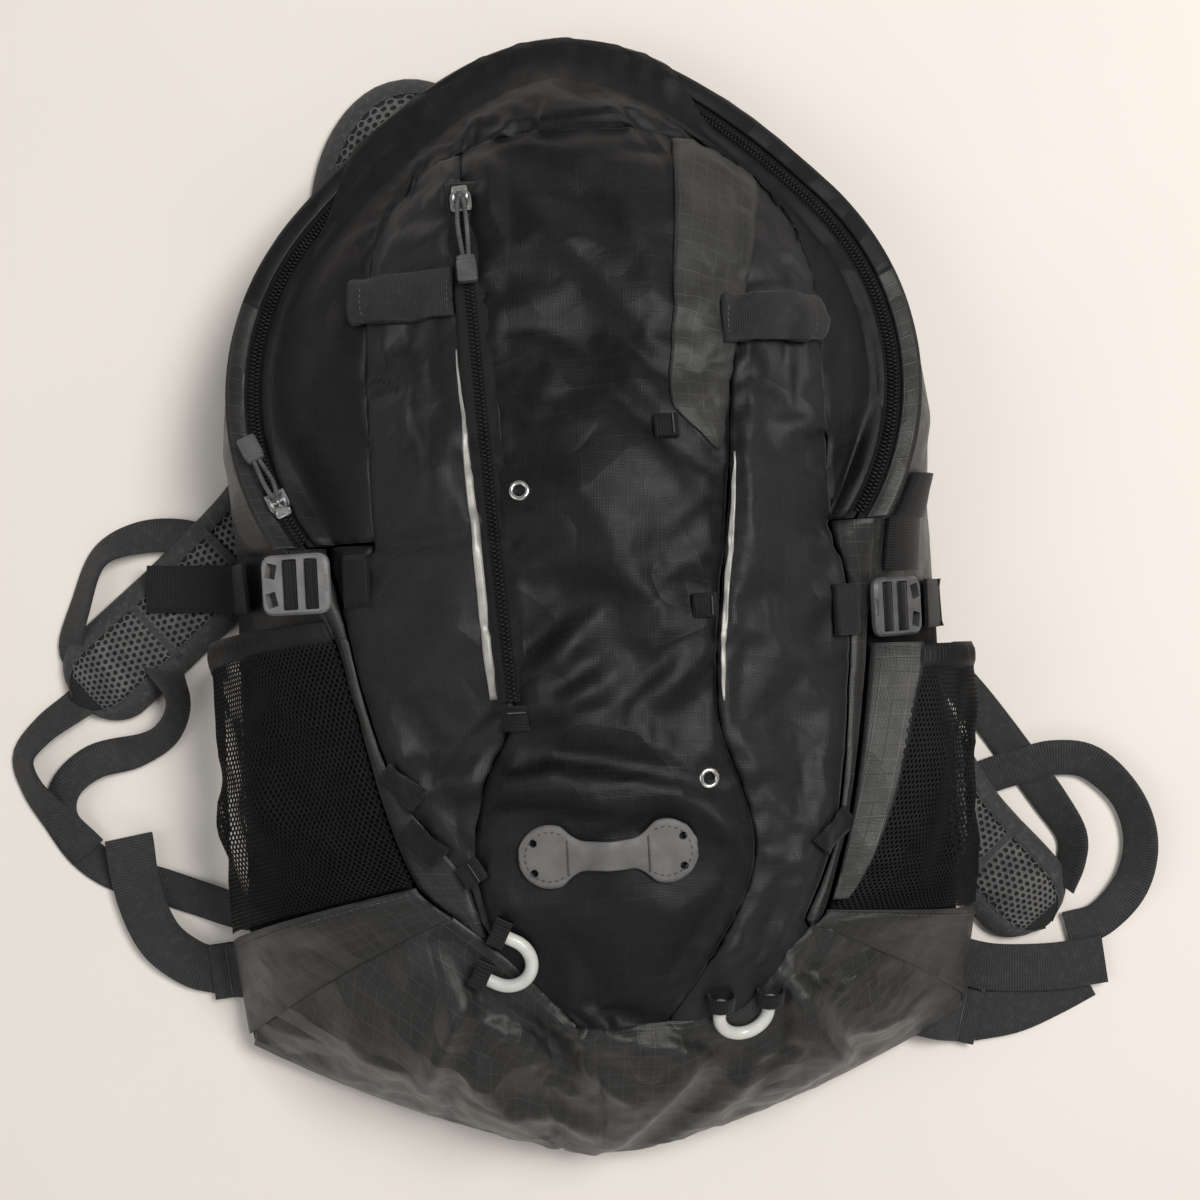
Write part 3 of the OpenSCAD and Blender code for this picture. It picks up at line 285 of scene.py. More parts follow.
# place, aim, size, power and colour of each lamp
lampSet = {
    "key": ((0.72, 0.42, 1.6), (0, 0, 0), (0.8, 0.65), 25.5, (1.0, 0.98, 0.95)),
    "fill": ((-1.2, -0.2, 1.3), (0, 0, 0), (1.2, 1.2), 5.6, (0.97, 0.98, 1.0)),
    "rim": ((0.3, -1.4, 1.1), (0, 0, 0.05), (1.4, 0.6), 3.0, (1.0, 0.98, 0.96))}
for name, (place, aim, size, power, colour) in lampSet.items():
    bpy.ops.object.light_add(type="AREA", location=place)
    lamp = bpy.context.object
    lamp.name = name
    lamp.rotation_euler = (Vector(aim) - Vector(place)).to_track_quat("-Z", "Y").to_euler()
    lamp.data.shape = "RECTANGLE"
    lamp.data.size, lamp.data.size_y = size
    lamp.data.energy = power
    lamp.data.color = colour
worldSet = {"colour": (1.0, 0.985, 0.965, 1.0), "strength": 0.22}
scene.world = bpy.data.worlds.new("studio")
scene.world.use_nodes = True
sky = scene.world.node_tree.nodes["Background"]
sky.inputs[0].default_value = worldSet["colour"]
sky.inputs[1].default_value = worldSet["strength"]

print("stage: bag shape")
# The same lines as the construction, in mm
bag = {"seam": 14, "half": 146, "topY": 230, "wideY": 40, "bottomY": -232, "cornerY": -180, "corner": 150,
       "cornerPower": 0.625, "foldY": 26, "foldHalf": 115, "apexY": 224, "apexZ": 23, "arcX": 15.4,
       "arcR": 111.6, "arcY": 88.3, "arcEnd": 40, "power": 2.5, "crown": 35.6923, "domeY": 140, "domeRun": 76,
       "foldZ": 79.3077, "archX": 9, "archHalf": 88, "archTop": 187, "spring": 100, "archPower": 2.8,
       "tape": 8, "hem": 9.5, "wingRise": 40, "crestFrom": -10, "crestTo": 60, "crestSoft": 5.0}
slope = (bag["foldZ"] - bag["apexZ"]) / (bag["apexY"] - bag["foldY"])
tilt = math.atan(slope)
cosT, sinT = math.cos(tilt), math.sin(tilt)
zipUp = (0, sinT, cosT)  # off the plane of the main zip
vFold = (bag["foldY"] - bag["arcY"]) / cosT
vApex = (bag["apexY"] - bag["arcY"]) / cosT


def ease(t):
    t = np.clip(t, 0, 1)
    return t * t * (3 - 2 * t)


def lerp(a, b, t):
    return a + (b - a) * t


def unit(v):
    return v / np.linalg.norm(v, axis=-1, keepdims=True)


def runOf(path):
    # length from the start of a path to each of its points
    return np.concatenate([[0], np.cumsum(np.linalg.norm(np.diff(path, axis=0), axis=1))])


def picked(values, run, at):
    # rows of values between the marks of a run
    return np.stack([np.interp(at, run, values[:, k]) for k in range(values.shape[1])], -1)


def between(grid, u, v):
    # value between the points of a grid, u over its columns and v over its rows
    i = np.clip(u.astype(int), 0, grid.shape[1] - 2)
    j = np.clip(v.astype(int), 0, grid.shape[0] - 2)
    fu, fv = (u - i)[..., None], (v - j)[..., None]
    return lerp(lerp(grid[j, i], grid[j, i + 1], fu), lerp(grid[j + 1, i], grid[j + 1, i + 1], fu), fv)


def bowed(a, b, push, u):
    # curve from a to b that swings out by push
    mid = (a + b) / 2 + push
    return a * (1 - u) ** 2 + 2 * mid * u * (1 - u) + b * u * u


def lineOf(pairs):
    # smooth curve through pairs without overshoot
    k, v = np.array(pairs, float).T
    h = np.diff(k)
    d = np.diff(v) / h
    m = np.zeros(len(k))
    m[0], m[-1] = d[0], d[-1]
    for i in range(1, len(k) - 1):
        if d[i - 1] * d[i] > 0:
            m[i] = 2 * d[i - 1] * d[i] / (d[i - 1] + d[i])

    def at(x):
        x = np.clip(np.asarray(x, float), k[0], k[-1])
        i = np.clip(np.searchsorted(k, x, side="right") - 1, 0, len(h) - 1)
        t = (x - k[i]) / h[i]
        return ((2 * t ** 3 - 3 * t ** 2 + 1) * v[i] + (t ** 3 - 2 * t ** 2 + t) * h[i] * m[i]
                + (3 * t ** 2 - 2 * t ** 3) * v[i + 1] + (t ** 3 - t ** 2) * h[i] * m[i + 1])
    return at


noiseSize = 101
noiseTable = np.random.default_rng(11).random((noiseSize, noiseSize)) * 2 - 1


def wobble(x, y, step, shift=0):
    # smooth noise from -1 to 1
    u, v = np.asarray(x, float) / step + shift * 7.3, np.asarray(y, float) / step + shift * 3.1
    u, v = np.broadcast_arrays(u, v)
    i, j = np.floor(u).astype(int), np.floor(v).astype(int)
    fu, fv = ease(u - i), ease(v - j)
    get = lambda a, b: noiseTable[a % noiseSize, b % noiseSize]
    return lerp(lerp(get(i, j), get(i + 1, j), fu), lerp(get(i, j + 1), get(i + 1, j + 1), fu), fv)


# Lines along the bag: depth, edges of the black front, its seams and the outer edges of the wings
depthLine = lineOf([(-232, 0), (-220, 16), (-205, 35), (-185, 56), (-160, 76), (-130, 90), (-90, 98),
                    (-40, 101), (26, 101)])
blackLeft = lineOf([(-162, -8), (-153, -18.5), (-128, -41), (-104, -49.5), (-63, -77), (5, -95), (26, -99)])
blackRight = lineOf([(-162, 44), (-134, 73.5), (-88, 94), (-21, 103), (10, 105), (26, 99)])
seamLeft = lineOf([(-128, -40.5), (-95, -46), (-69, -41), (-36, -28), (26, -31.7)])
seamRight = lineOf([(-162, 24), (-144, 37), (-95, 60), (-40, 48), (26, 54.8)])
wingLine = {-1: lineOf([(-119, 53), (-105, 69), (0, 101), (26, 115)]),
            1: lineOf([(-131, 79), (-125, 86), (-30, 109), (26, 115)])}
wingLow = {-1: -119, 1: -131}


def half(y):
    # half width of the back at a height
    y = np.asarray(y, float)
    up = bag["half"] * np.sqrt(np.clip(1 - ((y - bag["wideY"]) / (bag["topY"] - bag["wideY"])) ** 2, 0, 1))
    mid = lerp(bag["half"], bag["corner"], (bag["wideY"] - y) / (bag["wideY"] - bag["cornerY"]))
    share = np.clip((y - bag["bottomY"]) / (bag["cornerY"] - bag["bottomY"]), 0, 1)
    down = bag["corner"] * share ** bag["cornerPower"]
    return np.where(y >= bag["wideY"], up, np.where(y >= bag["cornerY"], mid, down))


def lowFront(x, y):
    share = np.minimum(1, np.abs(x) / np.maximum(half(y), 1))
    return bag["seam"] + depthLine(y) * (1 - share ** bag["power"])


def inPlane(y):
    return (np.asarray(y, float) - bag["arcY"]) / cosT


def planeZ(y):
    return bag["foldZ"] - slope * (np.asarray(y, float) - bag["foldY"])


def zipReach(v, off):
    # half width of the main zip's line in its own plane
    v = np.asarray(v, float)
    a = math.radians(bag["arcEnd"])
    r = bag["arcR"] + off
    pu, pv, va = bag["arcX"] + r * math.cos(a), r * math.sin(a), vApex + off
    s = np.sqrt(np.clip((va - v) / (va - pv), 0, 1))
    u = pu - (va - pv) * math.tan(a)
    arc = bag["arcX"] + np.sqrt(np.clip(r * r - v * v, 0, None))
    return np.where(v <= pv, arc, pu * s * s + 2 * u * s * (1 - s))


def zipPoint(a, off, w):
    # place beside the main zip: a from -1 to 1 round it, off outwards, w off its plane
    a = np.asarray(a, float)
    va = vApex + off
    v = va - (va - vFold) * a * a
    x = np.sign(a) * zipReach(v, off)
    y = bag["arcY"] + v * cosT + w * sinT
    z = planeZ(bag["arcY"]) - v * sinT + w * cosT
    return np.stack(np.broadcast_arrays(x, y, z), -1)


def topFront(x, y):
    rise = np.maximum(0, (np.asarray(y, float) - bag["domeY"]) / bag["domeRun"])
    dome = bag["crown"] * np.sqrt(np.clip(1 - rise ** 2, 0, 1))
    u = np.maximum(zipReach(inPlane(np.maximum(y, bag["foldY"])), -bag["tape"]), 1)
    return planeZ(y) + dome * (1 - np.minimum(1, np.abs(x) / u) ** bag["power"])


def baseFront(x, y):
    # lower bag and flap meet in a soft crest instead of a crease
    a, b = lowFront(x, np.minimum(y, bag["crestTo"])), topFront(x, np.maximum(y, -40))
    k = bag["crestSoft"]
    h = np.clip(k - np.abs(a - b), 0, None) / k
    near = np.minimum(a, b) - h * h * k / 4
    return np.where(y < bag["crestFrom"], a, np.where(y > bag["crestTo"], b, near))


def wingPoint(s, y):
    # outer edge of the wing beside the black front, lifted to the fold at its top
    x = wingLine[s](y)
    share = np.clip((np.asarray(y, float) - bag["foldY"] + bag["wingRise"]) / bag["wingRise"], 0, 1)
    z = lowFront(s * x, y) + (bag["foldZ"] - lowFront(bag["foldHalf"], bag["foldY"])) * share ** 1.5
    return np.stack(np.broadcast_arrays(s * x, y, z), -1)


def backSeam(s, y):
    return np.stack(np.broadcast_arrays(s * half(y), y, bag["seam"] + 0 * y), -1)


def archSide(y, s, off=0.0):
    # the arched seam of the upper front, by height
    y = np.asarray(y, float)
    k = bag["archPower"]
    t = np.clip((y - bag["spring"]) / (bag["archTop"] + off - bag["spring"]), 0, 1)
    r = (1 - t ** k) ** (1 / k)
    return bag["archX"] + s * (bag["archHalf"] + off) * np.where(y <= bag["spring"], 1, r)


def archOver(x):
    k = bag["archPower"]
    t = np.clip(np.abs(np.asarray(x, float) - bag["archX"]) / bag["archHalf"], 0, 1)
    return bag["spring"] + (bag["archTop"] - bag["spring"]) * (1 - t ** k) ** (1 / k)


def zipX(y):
    # line of the pocket zip
    return lerp(-28, -40, (np.asarray(y, float) + 36) / 200)


def seamX(y):
    # upper right seam, straight from the fold
    return 54.8 + 0.11 * (np.asarray(y, float) - bag["foldY"])

print("stage: front cloth")
# Folds seen on the front: line, height and half width in mm
folds = [
    ([(-25.9, 174.9), (-11.8, 157.9), (3.4, 138.3), (22.1, 114.8), (33.6, 96.7)], 2.6, 8),
    ([(9.6, 68.0), (23.7, 52.2), (40.4, 36.3)], 2.0, 9),
    ([(-49.2, 182.4), (-45.1, 165.9), (-48, 150)], 2.4, 5),
    ([(-30.6, 180.2), (-29.2, 160.1), (-26.7, 137.4)], 2.6, 6),
    ([(-18.5, 104.5), (-5.0, 76.2), (4.9, 50.7), (7.0, 20.6), (25.6, -5.4)], 2.6, 13),
    ([(-69.9, 147.3), (-56.4, 142.8), (-44.0, 140.9)], 2.4, 8),
    ([(-3.0, 219.3), (-1.6, 207.3), (-1.8, 194.1)], 2.6, 6),
    ([(6.2, 193.6), (27.4, 200.3), (47.7, 188.8)], 2.4, 7),
    ([(93.0, 131.0), (94.6, 100.9), (89.5, 66.1)], 2.6, 6),
    ([(67.1, 67.3), (66.1, 27.4), (69.4, -5.3)], 2.0, 12),
    ([(-58.3, 84.1), (-56.2, 54.0), (-56.6, 24.0)], 2.2, 13),
    ([(-27.1, -35.4), (-13.8, -23.5), (4.0, -6.2)], 3.2, 6),
    ([(-28.7, -39.5), (-9.0, -37.8), (11.2, -27.7)], 2.4, 5),
    ([(-62.5, -65.8), (-38.6, -66.3), (-19.2, -68.5), (0.2, -70.4), (22.4, -75.6), (43.0, -83.5),
      (58.0, -93.5)], 4.2, 7),
    ([(88.7, -46.5), (91.5, -75.1), (80.0, -103.0), (65.4, -136.4)], 3.0, 9),
    ([(-81.5, -34.4), (-70.1, -60.7), (-60.6, -95.4)], 3.0, 8),
    ([(-41.5, -105.7), (-25.7, -132.4), (-4.1, -156.5)], 2.2, 7),
    ([(59.1, -102.6), (47.5, -130.6), (28.8, -158.3)], 3.0, 7),
    ([(-58.3, -129.4), (-51.4, -156.5), (-29.3, -187.4)], 3.6, 10),
    ([(-110.6, -153.3), (-72.6, -164.2), (-40.7, -177.8)], 3.0, 9),
    ([(39.7, -180.4), (20.7, -198.8), (1.8, -217.2)], 4.0, 6),
    ([(-34.2, -139.6), (-15.9, -158.4), (9.9, -174.6), (32, -178)], 2.6, 7),
    ([(67.9, -155.0), (84.9, -173.9), (89.8, -192.1)], 3.0, 8),
    ([(73.7, -158.3), (105.7, -175.0), (123.3, -182.0)], 2.6, 7),
    ([(-88, -140), (-96, -160), (-92, -184)], 2.2, 8),
    ([(20, 150), (30, 128), (34, 108)], 1.6, 6),
    ([(-70, 110), (-66, 84), (-72, 52)], 2.0, 8),
    ([(20, -40), (36, -28), (48, -22)], 1.8, 6),
    ([(14, 96), (28, 72), (44, 58)], 1.4, 7),
]
# Sharp creases: the cloth stands higher on the left of the line and runs out over a reach
creases = [
    ([(3, -219), (22, -198), (41, -176)], 4.6, 2.6, 30),
    ([(-70, -206), (-60, -172), (-52, -134)], 3.0, 2.6, 28),
    ([(-24, -212), (-32, -182), (-44, -144)], 3.0, 2.6, 20),
    ([(-6, -214), (-8, -192), (-4, -172)], 2.2, 2.4, 16),
    ([(-120, -190), (-104, -172), (-84, -150)], 2.4, 3.0, 22),
    ([(118, -186), (98, -166), (70, -146)], 2.6, 3.0, 24),
    ([(-60, -69), (-20, -73), (22, -80), (58, -98)], 2.4, 3.0, 26),
    ([(30, -56), (12, -36), (-8, -22), (-26, -34)], 1.8, 3.0, 20),
    ([(-34, 88), (-12, 58), (4, 30), (20, 4)], 2.0, 4.0, 30),
    ([(36, 92), (14, 122), (-4, 146), (-26, 174)], 2.0, 3.4, 26),
    ([(-60, 20), (-58, 60), (-64, 100)], 1.6, 3.6, 20),
    ([(72, 0), (67, 40), (70, 84)], 1.6, 3.6, 20),
]


def foldHeight(x, y, ridges, cliffs):
    # a ridge has a shallow dip beside it, and a cliff stands up on one side
    total = np.zeros(np.shape(x))
    for line, height, width, reach in [(*ridge, 0) for ridge in ridges] + cliffs:
        p = np.array(line, float)
        seg = np.linalg.norm(np.diff(p, axis=0), axis=1)
        start = runOf(p)
        best = np.full(np.shape(x), 1e9)
        side, along = np.zeros(np.shape(x)), np.zeros(np.shape(x))
        for i in range(len(seg)):
            d = (p[i + 1] - p[i]) / seg[i]
            rx, ry = x - p[i][0], y - p[i][1]
            t = np.clip(rx * d[0] + ry * d[1], 0, seg[i])
            away = np.hypot(rx - t * d[0], ry - t * d[1])
            nearer = away < best
            best = np.where(nearer, away, best)
            side = np.where(nearer, np.sign(d[0] * ry - d[1] * rx), side)
            along = np.where(nearer, (start[i] + t) / start[-1], along)
        away = best * side
        if reach:
            shape = 0.5 * (1 + np.tanh(away / width)) * np.exp(-(np.clip(away, 0, None) / reach) ** 2)
        else:
            shape = np.exp(-(best / width) ** 2) - 0.42 * np.exp(-((away - 1.7 * width) / width) ** 2)
        total += height * np.sin(np.pi * (0.12 + 0.76 * along)) ** 1.2 * shape
    return total


def edges(y):
    # how far the front cloth reaches to each side
    flap = zipReach(inPlane(y), -bag["tape"] - 0.3)
    left, right = (np.where(y > bag["foldY"], flap, np.where(y > wingLow[s], wingLine[s](y), half(y) * 0.995))
                   for s in (-1, 1))
    return -left, right


seamLines = [
    [(zipX(y), y) for y in range(-36, 168, 6)], [(seamX(y), y) for y in range(26, 160, 6)],
    [(seamRight(y), y) for y in range(-162, 27, 6)], [(seamLeft(y), y) for y in range(-126, -35, 6)],
    [(archSide(y, -1), y) for y in range(26, 168, 5)], [(archSide(y, 1), y) for y in range(26, 158, 5)],
    [(x, archOver(x)) for x in range(-40, 72, 5)], [(blackLeft(y), y) for y in range(-162, 27, 5)],
    [(blackRight(y), y) for y in range(-162, 27, 5)]]
seamDots = np.array([q for line in seamLines for q in line], float)


def simulated(name, points, faces, hold, settings, frameCount):
    # where Cloth leaves the points, in mm; hold is 1 where they are sewn down
    mesh = bpy.data.meshes.new(name)
    mesh.from_pydata((points * mm).tolist(), [], faces)
    obj = bpy.data.objects.new(name, mesh)
    scene.collection.objects.link(obj)
    group = obj.vertex_groups.new(name="sewn")
    for i, weight in enumerate(hold):
        group.add([i], float(weight), "REPLACE")
    cloth = obj.modifiers.new("cloth", "CLOTH")
    for key, value in settings.items():
        setattr(cloth.settings, key, value)
    cloth.settings.vertex_group_mass = "sewn"
    cloth.settings.effector_weights.gravity = 0
    cloth.point_cache.frame_start, cloth.point_cache.frame_end = 1, frameCount
    for f in range(1, frameCount + 1):
        scene.frame_set(f)
    done = obj.evaluated_get(bpy.context.evaluated_depsgraph_get())
    flat = np.zeros(len(mesh.vertices) * 3)
    done.data.vertices.foreach_get("co", flat)
    scene.frame_set(1)
    bpy.data.objects.remove(obj)
    return flat.reshape(-1, 3) / mm


def capped(move, most):
    size = np.linalg.norm(move, axis=-1, keepdims=True)
    return move * np.minimum(1, most / np.maximum(size, 1e-6))


# The cloth lies flat under the tool loops and the rubber patch: place, reach and what is left of the folds
calmSpots = ((-34, -138, 13, 0.1), (51, -162, 13, 0.1), (-17, -94, 10, 0.3), (26, -94, 10, 0.3))
skinSet = {"step": 4.0, "frames": 18, "cap": 9.0, "top": 222, "pinTop": 214, "pinEdge": 7,
           "cloth": {"quality": 5, "mass": 0.15, "air_damping": 2.0, "tension_stiffness": 12,
                     "compression_stiffness": 12, "shear_stiffness": 4, "bending_stiffness": 0.4,
                     "pin_stiffness": 0.6, "shrink_min": -0.03, "shrink_max": -0.03,
                     "use_pressure": True, "uniform_pressure_force": 0.35}}
gridX = np.arange(-152, 152.1, skinSet["step"])
gridY = np.arange(-232, 226.1, skinSet["step"])


def makeSkin():
    # how far each point of the front's plan grid moves when the cloth settles
    x, y = np.meshgrid(gridX, gridY)
    left, right = edges(y)
    inside = (x >= left) & (x <= right) & (y < skinSet["top"])
    edgeGap = np.minimum(x - left, right - x)
    calm = ease(edgeGap / 12) * ease((skinSet["top"] - y) / 12)
    for sx, sy, reach, rest in calmSpots:
        calm *= lerp(rest, 1, ease((np.hypot(x - sx, y - sy) - reach) / 14))
    base = baseFront(x, y)
    seam = np.min(np.hypot(x[..., None] - seamDots[:, 0], y[..., None] - seamDots[:, 1]), axis=-1)
    strong = lerp(3.0, 1.8, ease((y + 150) / 30))  # the base folds more than the front
    lift = strong * foldHeight(x, y, folds, creases) * calm * (0.35 + 0.65 * ease(seam / 9))
    lift += calm * (1.5 * wobble(x, y, 37) + 0.7 * wobble(x, y, 15, 1)) * ease(seam / 12)
    dent = 1.3 * np.exp(-(seam / 3.2) ** 2) * calm
    result = np.stack([x, y, base + lift - dent], -1)
    index = np.full(x.shape, -1)
    index[inside] = np.arange(inside.sum())
    quads = np.stack([index[:-1, :-1], index[:-1, 1:], index[1:, 1:], index[1:, :-1]], -1).reshape(-1, 4)
    quads = quads[quads.min(1) >= 0].tolist()
    sewn = 0.75 * np.exp(-(seam / 4) ** 2) + 0.02
    hold = np.where((edgeGap < skinSet["pinEdge"]) | (y > skinSet["pinTop"]), 1.0, sewn)
    result[inside] = simulated("skin", result[inside], quads, hold[inside], skinSet["cloth"],
                               skinSet["frames"])
    move = result - np.stack([x, y, base], -1)
    print("front cloth moved", round(float(np.linalg.norm(move[inside], axis=-1).max()), 2), "mm most")
    return capped(move, skinSet["cap"]) * (calm * inside)[..., None]


skinMove = makeSkin()


def skin(x, y):
    # the settled front at a place of its plan
    x, y = np.broadcast_arrays(np.asarray(x, float), np.asarray(y, float))
    u = np.clip((x - gridX[0]) / skinSet["step"], 0, len(gridX) - 1.001)
    v = np.clip((y - gridY[0]) / skinSet["step"], 0, len(gridY) - 1.001)
    return np.stack([x, y, baseFront(x, y)], -1) + between(skinMove, u, v)


def skinNormal(x, y):
    return unit(np.cross(skin(x + 1.5, y) - skin(x - 1.5, y), skin(x, y + 1.5) - skin(x, y - 1.5)))


def normalsOf(p):
    n = np.cross(np.gradient(p, axis=1), np.gradient(p, axis=0))
    size = np.linalg.norm(n, axis=-1, keepdims=True)
    mean = n.reshape(-1, 3).sum(0)
    mean = mean / max(np.linalg.norm(mean), 1e-9)
    return np.where(size > 1e-7, n / np.maximum(size, 1e-9), mean)


def piece(name, points, faces, mat, uv=None, flatFrom=None):
    # a mesh from points in mm, smooth up to the face flatFrom
    mesh = bpy.data.meshes.new(name)
    mesh.from_pydata((np.asarray(points, float).reshape(-1, 3) * mm).tolist(), [], faces)
    smooth = np.ones(len(mesh.polygons), bool)
    if flatFrom is not None:
        smooth[flatFrom:] = False
    mesh.polygons.foreach_set("use_smooth", smooth)
    if uv is not None:
        layer = mesh.uv_layers.new(name="flat")
        corner = np.zeros(len(mesh.loops), int)
        mesh.loops.foreach_get("vertex_index", corner)
        layer.data.foreach_set("uv", (np.asarray(uv, float).reshape(-1, 2)[corner] * mm).ravel())
    obj = bpy.data.objects.new(name, mesh)
    scene.collection.objects.link(obj)
    mesh.materials.append(mat)
    return obj


def quadsOf(rows, cols, start=0, flip=False):
    r, c = np.meshgrid(np.arange(rows - 1), np.arange(cols - 1), indexing="ij")
    a = (r * cols + c + start).ravel()
    f = np.stack([a, a + 1, a + cols + 1, a + cols], -1)
    return (f[:, ::-1] if flip else f).tolist()


def slabFaces(rows, cols, flip=False):
    # both sides of a closed slab, then the walls between them
    count, last = rows * cols, cols - 1
    faces = quadsOf(rows, cols, 0, flip) + quadsOf(rows, cols, count, not flip)
    for r in range(rows - 1):
        a, b = r * cols, (r + 1) * cols
        faces += [[b + count, a + count, a, b], [a + last + count, b + last + count, b + last, a + last]]
    for c in range(cols - 1):
        a, b = c, (rows - 1) * cols + c
        faces += [[a + count, a + 1 + count, a + 1, a], [b + 1 + count, b + count, b, b + 1]]
    return faces


def spans(p):
    # lengths over the cloth, across and along
    across = np.cumsum(np.linalg.norm(np.diff(p, axis=1), axis=-1), 1)
    along = np.cumsum(np.linalg.norm(np.diff(p, axis=0), axis=-1), 0)
    return np.pad(across, ((0, 0), (1, 0))), np.pad(along, ((1, 0), (0, 0)))


def clothPiece(name, p, mat, thick=0.9, roll="", depth=1.3, fine=0.22, inside=(0, 0, 40), facing=None):
    # a sheet from rows of points, its sewn edges rolled down, with small puckers at the seams
    n = normalsOf(p)
    if (n * (p - np.array(inside, float) if facing is None else np.array(facing, float))).sum() < 0:
        p = p[:, ::-1].copy()
        roll = roll.translate(str.maketrans("lr", "rl"))
        n = normalsOf(p)
    lu, lv = spans(p)
    edge = {"l": (lu, lv), "r": (lu[:, -1:] - lu, lv), "b": (lv, lu), "t": (lv[-1:] - lv, lu)}
    shift = fine * (wobble(lu, lv, 17, 3) + 0.6 * wobble(lu, lv, 7, 4))
    for k, side in enumerate(roll):
        gap, along = edge[side]
        pucker = 0.45 * wobble(along, gap * 0.15, 6.5, 5 + k) * np.exp(-gap / 8) * ease(gap / 3)
        shift = shift - depth * (1 - ease(gap / 3.2)) + pucker
    p = p + n * shift[..., None]
    rows, cols = p.shape[:2]
    middle = lu[:, cols // 2:cols // 2 + 1]
    uv = np.stack([lu - middle, np.broadcast_to(lv.mean(1, keepdims=True), lu.shape)], -1).reshape(-1, 2)
    points = np.concatenate([p.reshape(-1, 3), (p - normalsOf(p) * thick).reshape(-1, 3)])
    walls = 2 * (rows - 1) * (cols - 1)
    return piece(name, points, slabFaces(rows, cols), mat, np.concatenate([uv, uv]), walls)


def named(nodes):
    if nodes:
        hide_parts(*nodes)


def settle(obj, body, slot, *nodes):
    # over the fold, the piece's place is baked into its mesh and it hangs on no body; elsewhere it hangs on
    # its body
    if body == "fold":
        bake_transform(obj)
    else:
        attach(obj, body)
    named(nodes)


def panelRows(left, right, bottom, upper, cols, rows):
    u, v = np.meshgrid(np.linspace(0, 1, cols), np.linspace(0, 1, rows))
    y = lerp(bottom, upper(u), v)
    return skin(lerp(left(y), right(y), u), y)


frontSet = {"tail": (-93.5, -79.3), "tailRun": 24, "rightFold": 96.7, "tuck": 6.5, "tuckLeft": 3.0,
            "tuckY": -126, "zipLow": -36, "over": 1.6}


def tailEdge(y):
    # the left end of the band runs down beside the front panel
    return lerp(*frontSet["tail"], ease((y - bag["foldY"] + frontSet["tailRun"]) / frontSet["tailRun"]))


def leftEdge(y):
    black = blackLeft(y)
    lower = np.where(y > bag["foldY"] - frontSet["tailRun"], np.maximum(tailEdge(y), black), black)
    return np.where(y > bag["foldY"], archSide(y, -1, 0.9), lower)


def rightEdge(y):
    tuck = frontSet["tuck"] * ease((frontSet["tuckY"] - y) / 8)  # runs under the base
    lower = lerp(blackRight(y) + tuck, frontSet["rightFold"], ease((y - bag["crestFrom"]) / 36))
    return np.where(y > bag["foldY"], archSide(y, 1, 0.9), lower)


def innerLeft(y):
    tuck = blackLeft(y) - frontSet["tuckLeft"] * ease((frontSet["tuckY"] - y) / 8)
    return np.where(y < frontSet["tuckY"], tuck, np.where(y < frontSet["zipLow"], seamLeft(y), zipX(y)))


def innerRight(y):
    return np.where(y < bag["foldY"], seamRight(y), seamX(y))


# left edge, right edge, lowest y, stretch of the arch, columns, rows and cloth of each front panel
frontPanels = {
    # the left and right panels wear the lighter copy of the black nylon, a painted sheen
    "left": (lambda y: leftEdge(np.minimum(y, 136)), lambda y: innerLeft(y) - 0.3 + 1.6 * ease((y - 158) / 8),
             -126, (-76, -40), 28, 120, sheenLitNylon),
    "center": (innerLeft, lambda y: innerRight(y) - 0.3 + 1.2 * ease((y - 120) / 20),
               -166, (-40, 69.5), 44, 150, blackNylon),
    "right": (innerRight, lambda y: rightEdge(np.minimum(y, 143)), -166, (69.5, 92), 26, 140, sheenLitNylon)}
for where, (left, right, bottom, arch, cols, rows, mat) in frontPanels.items():
    grid = panelRows(left, right, bottom, lambda u: archOver(lerp(*arch, u)) + frontSet["over"], cols, rows)
    panel = clothPiece("front_%s_cloth" % where, grid, mat, roll="lrt", depth=0.8)
    settle(panel, "fold", "black_nylon", "front_lower_" + where, "front_upper_" + where)

tailRows = panelRows(blackLeft, lambda y: np.maximum(tailEdge(y), blackLeft(y) + 0.2) - 0.4, 3,
                     lambda u: 25.6 + 0 * u, 8, 12)
settle(clothPiece("band_tail_cloth", tailRows, blackNylon, roll="lr"), "pack", "black_nylon")


def archPoint(a):
    # the arch seam at the same share of the way round as the zip
    y = bag["archTop"] - (bag["archTop"] - 26.5) * a * a
    return np.where(a < 0, archSide(y, -1, 0.3), archSide(y, 1, 0.3)), y


def neighbours(p):
    # mean of the four points round each inner point
    return (p[:-2, 1:-1] + p[2:, 1:-1] + p[1:-1, :-2] + p[1:-1, 2:]) / 4


bandSet = {"rows": 220, "cols": 26, "gap": 0.3, "gather": 3.4, "gatherStep": 11, "run": 330, "fold": 2.0}
flapShare = math.sqrt(1 - 0.5 / (bag["apexY"] - bag["foldY"]))  # the flap ends half a mm above the fold


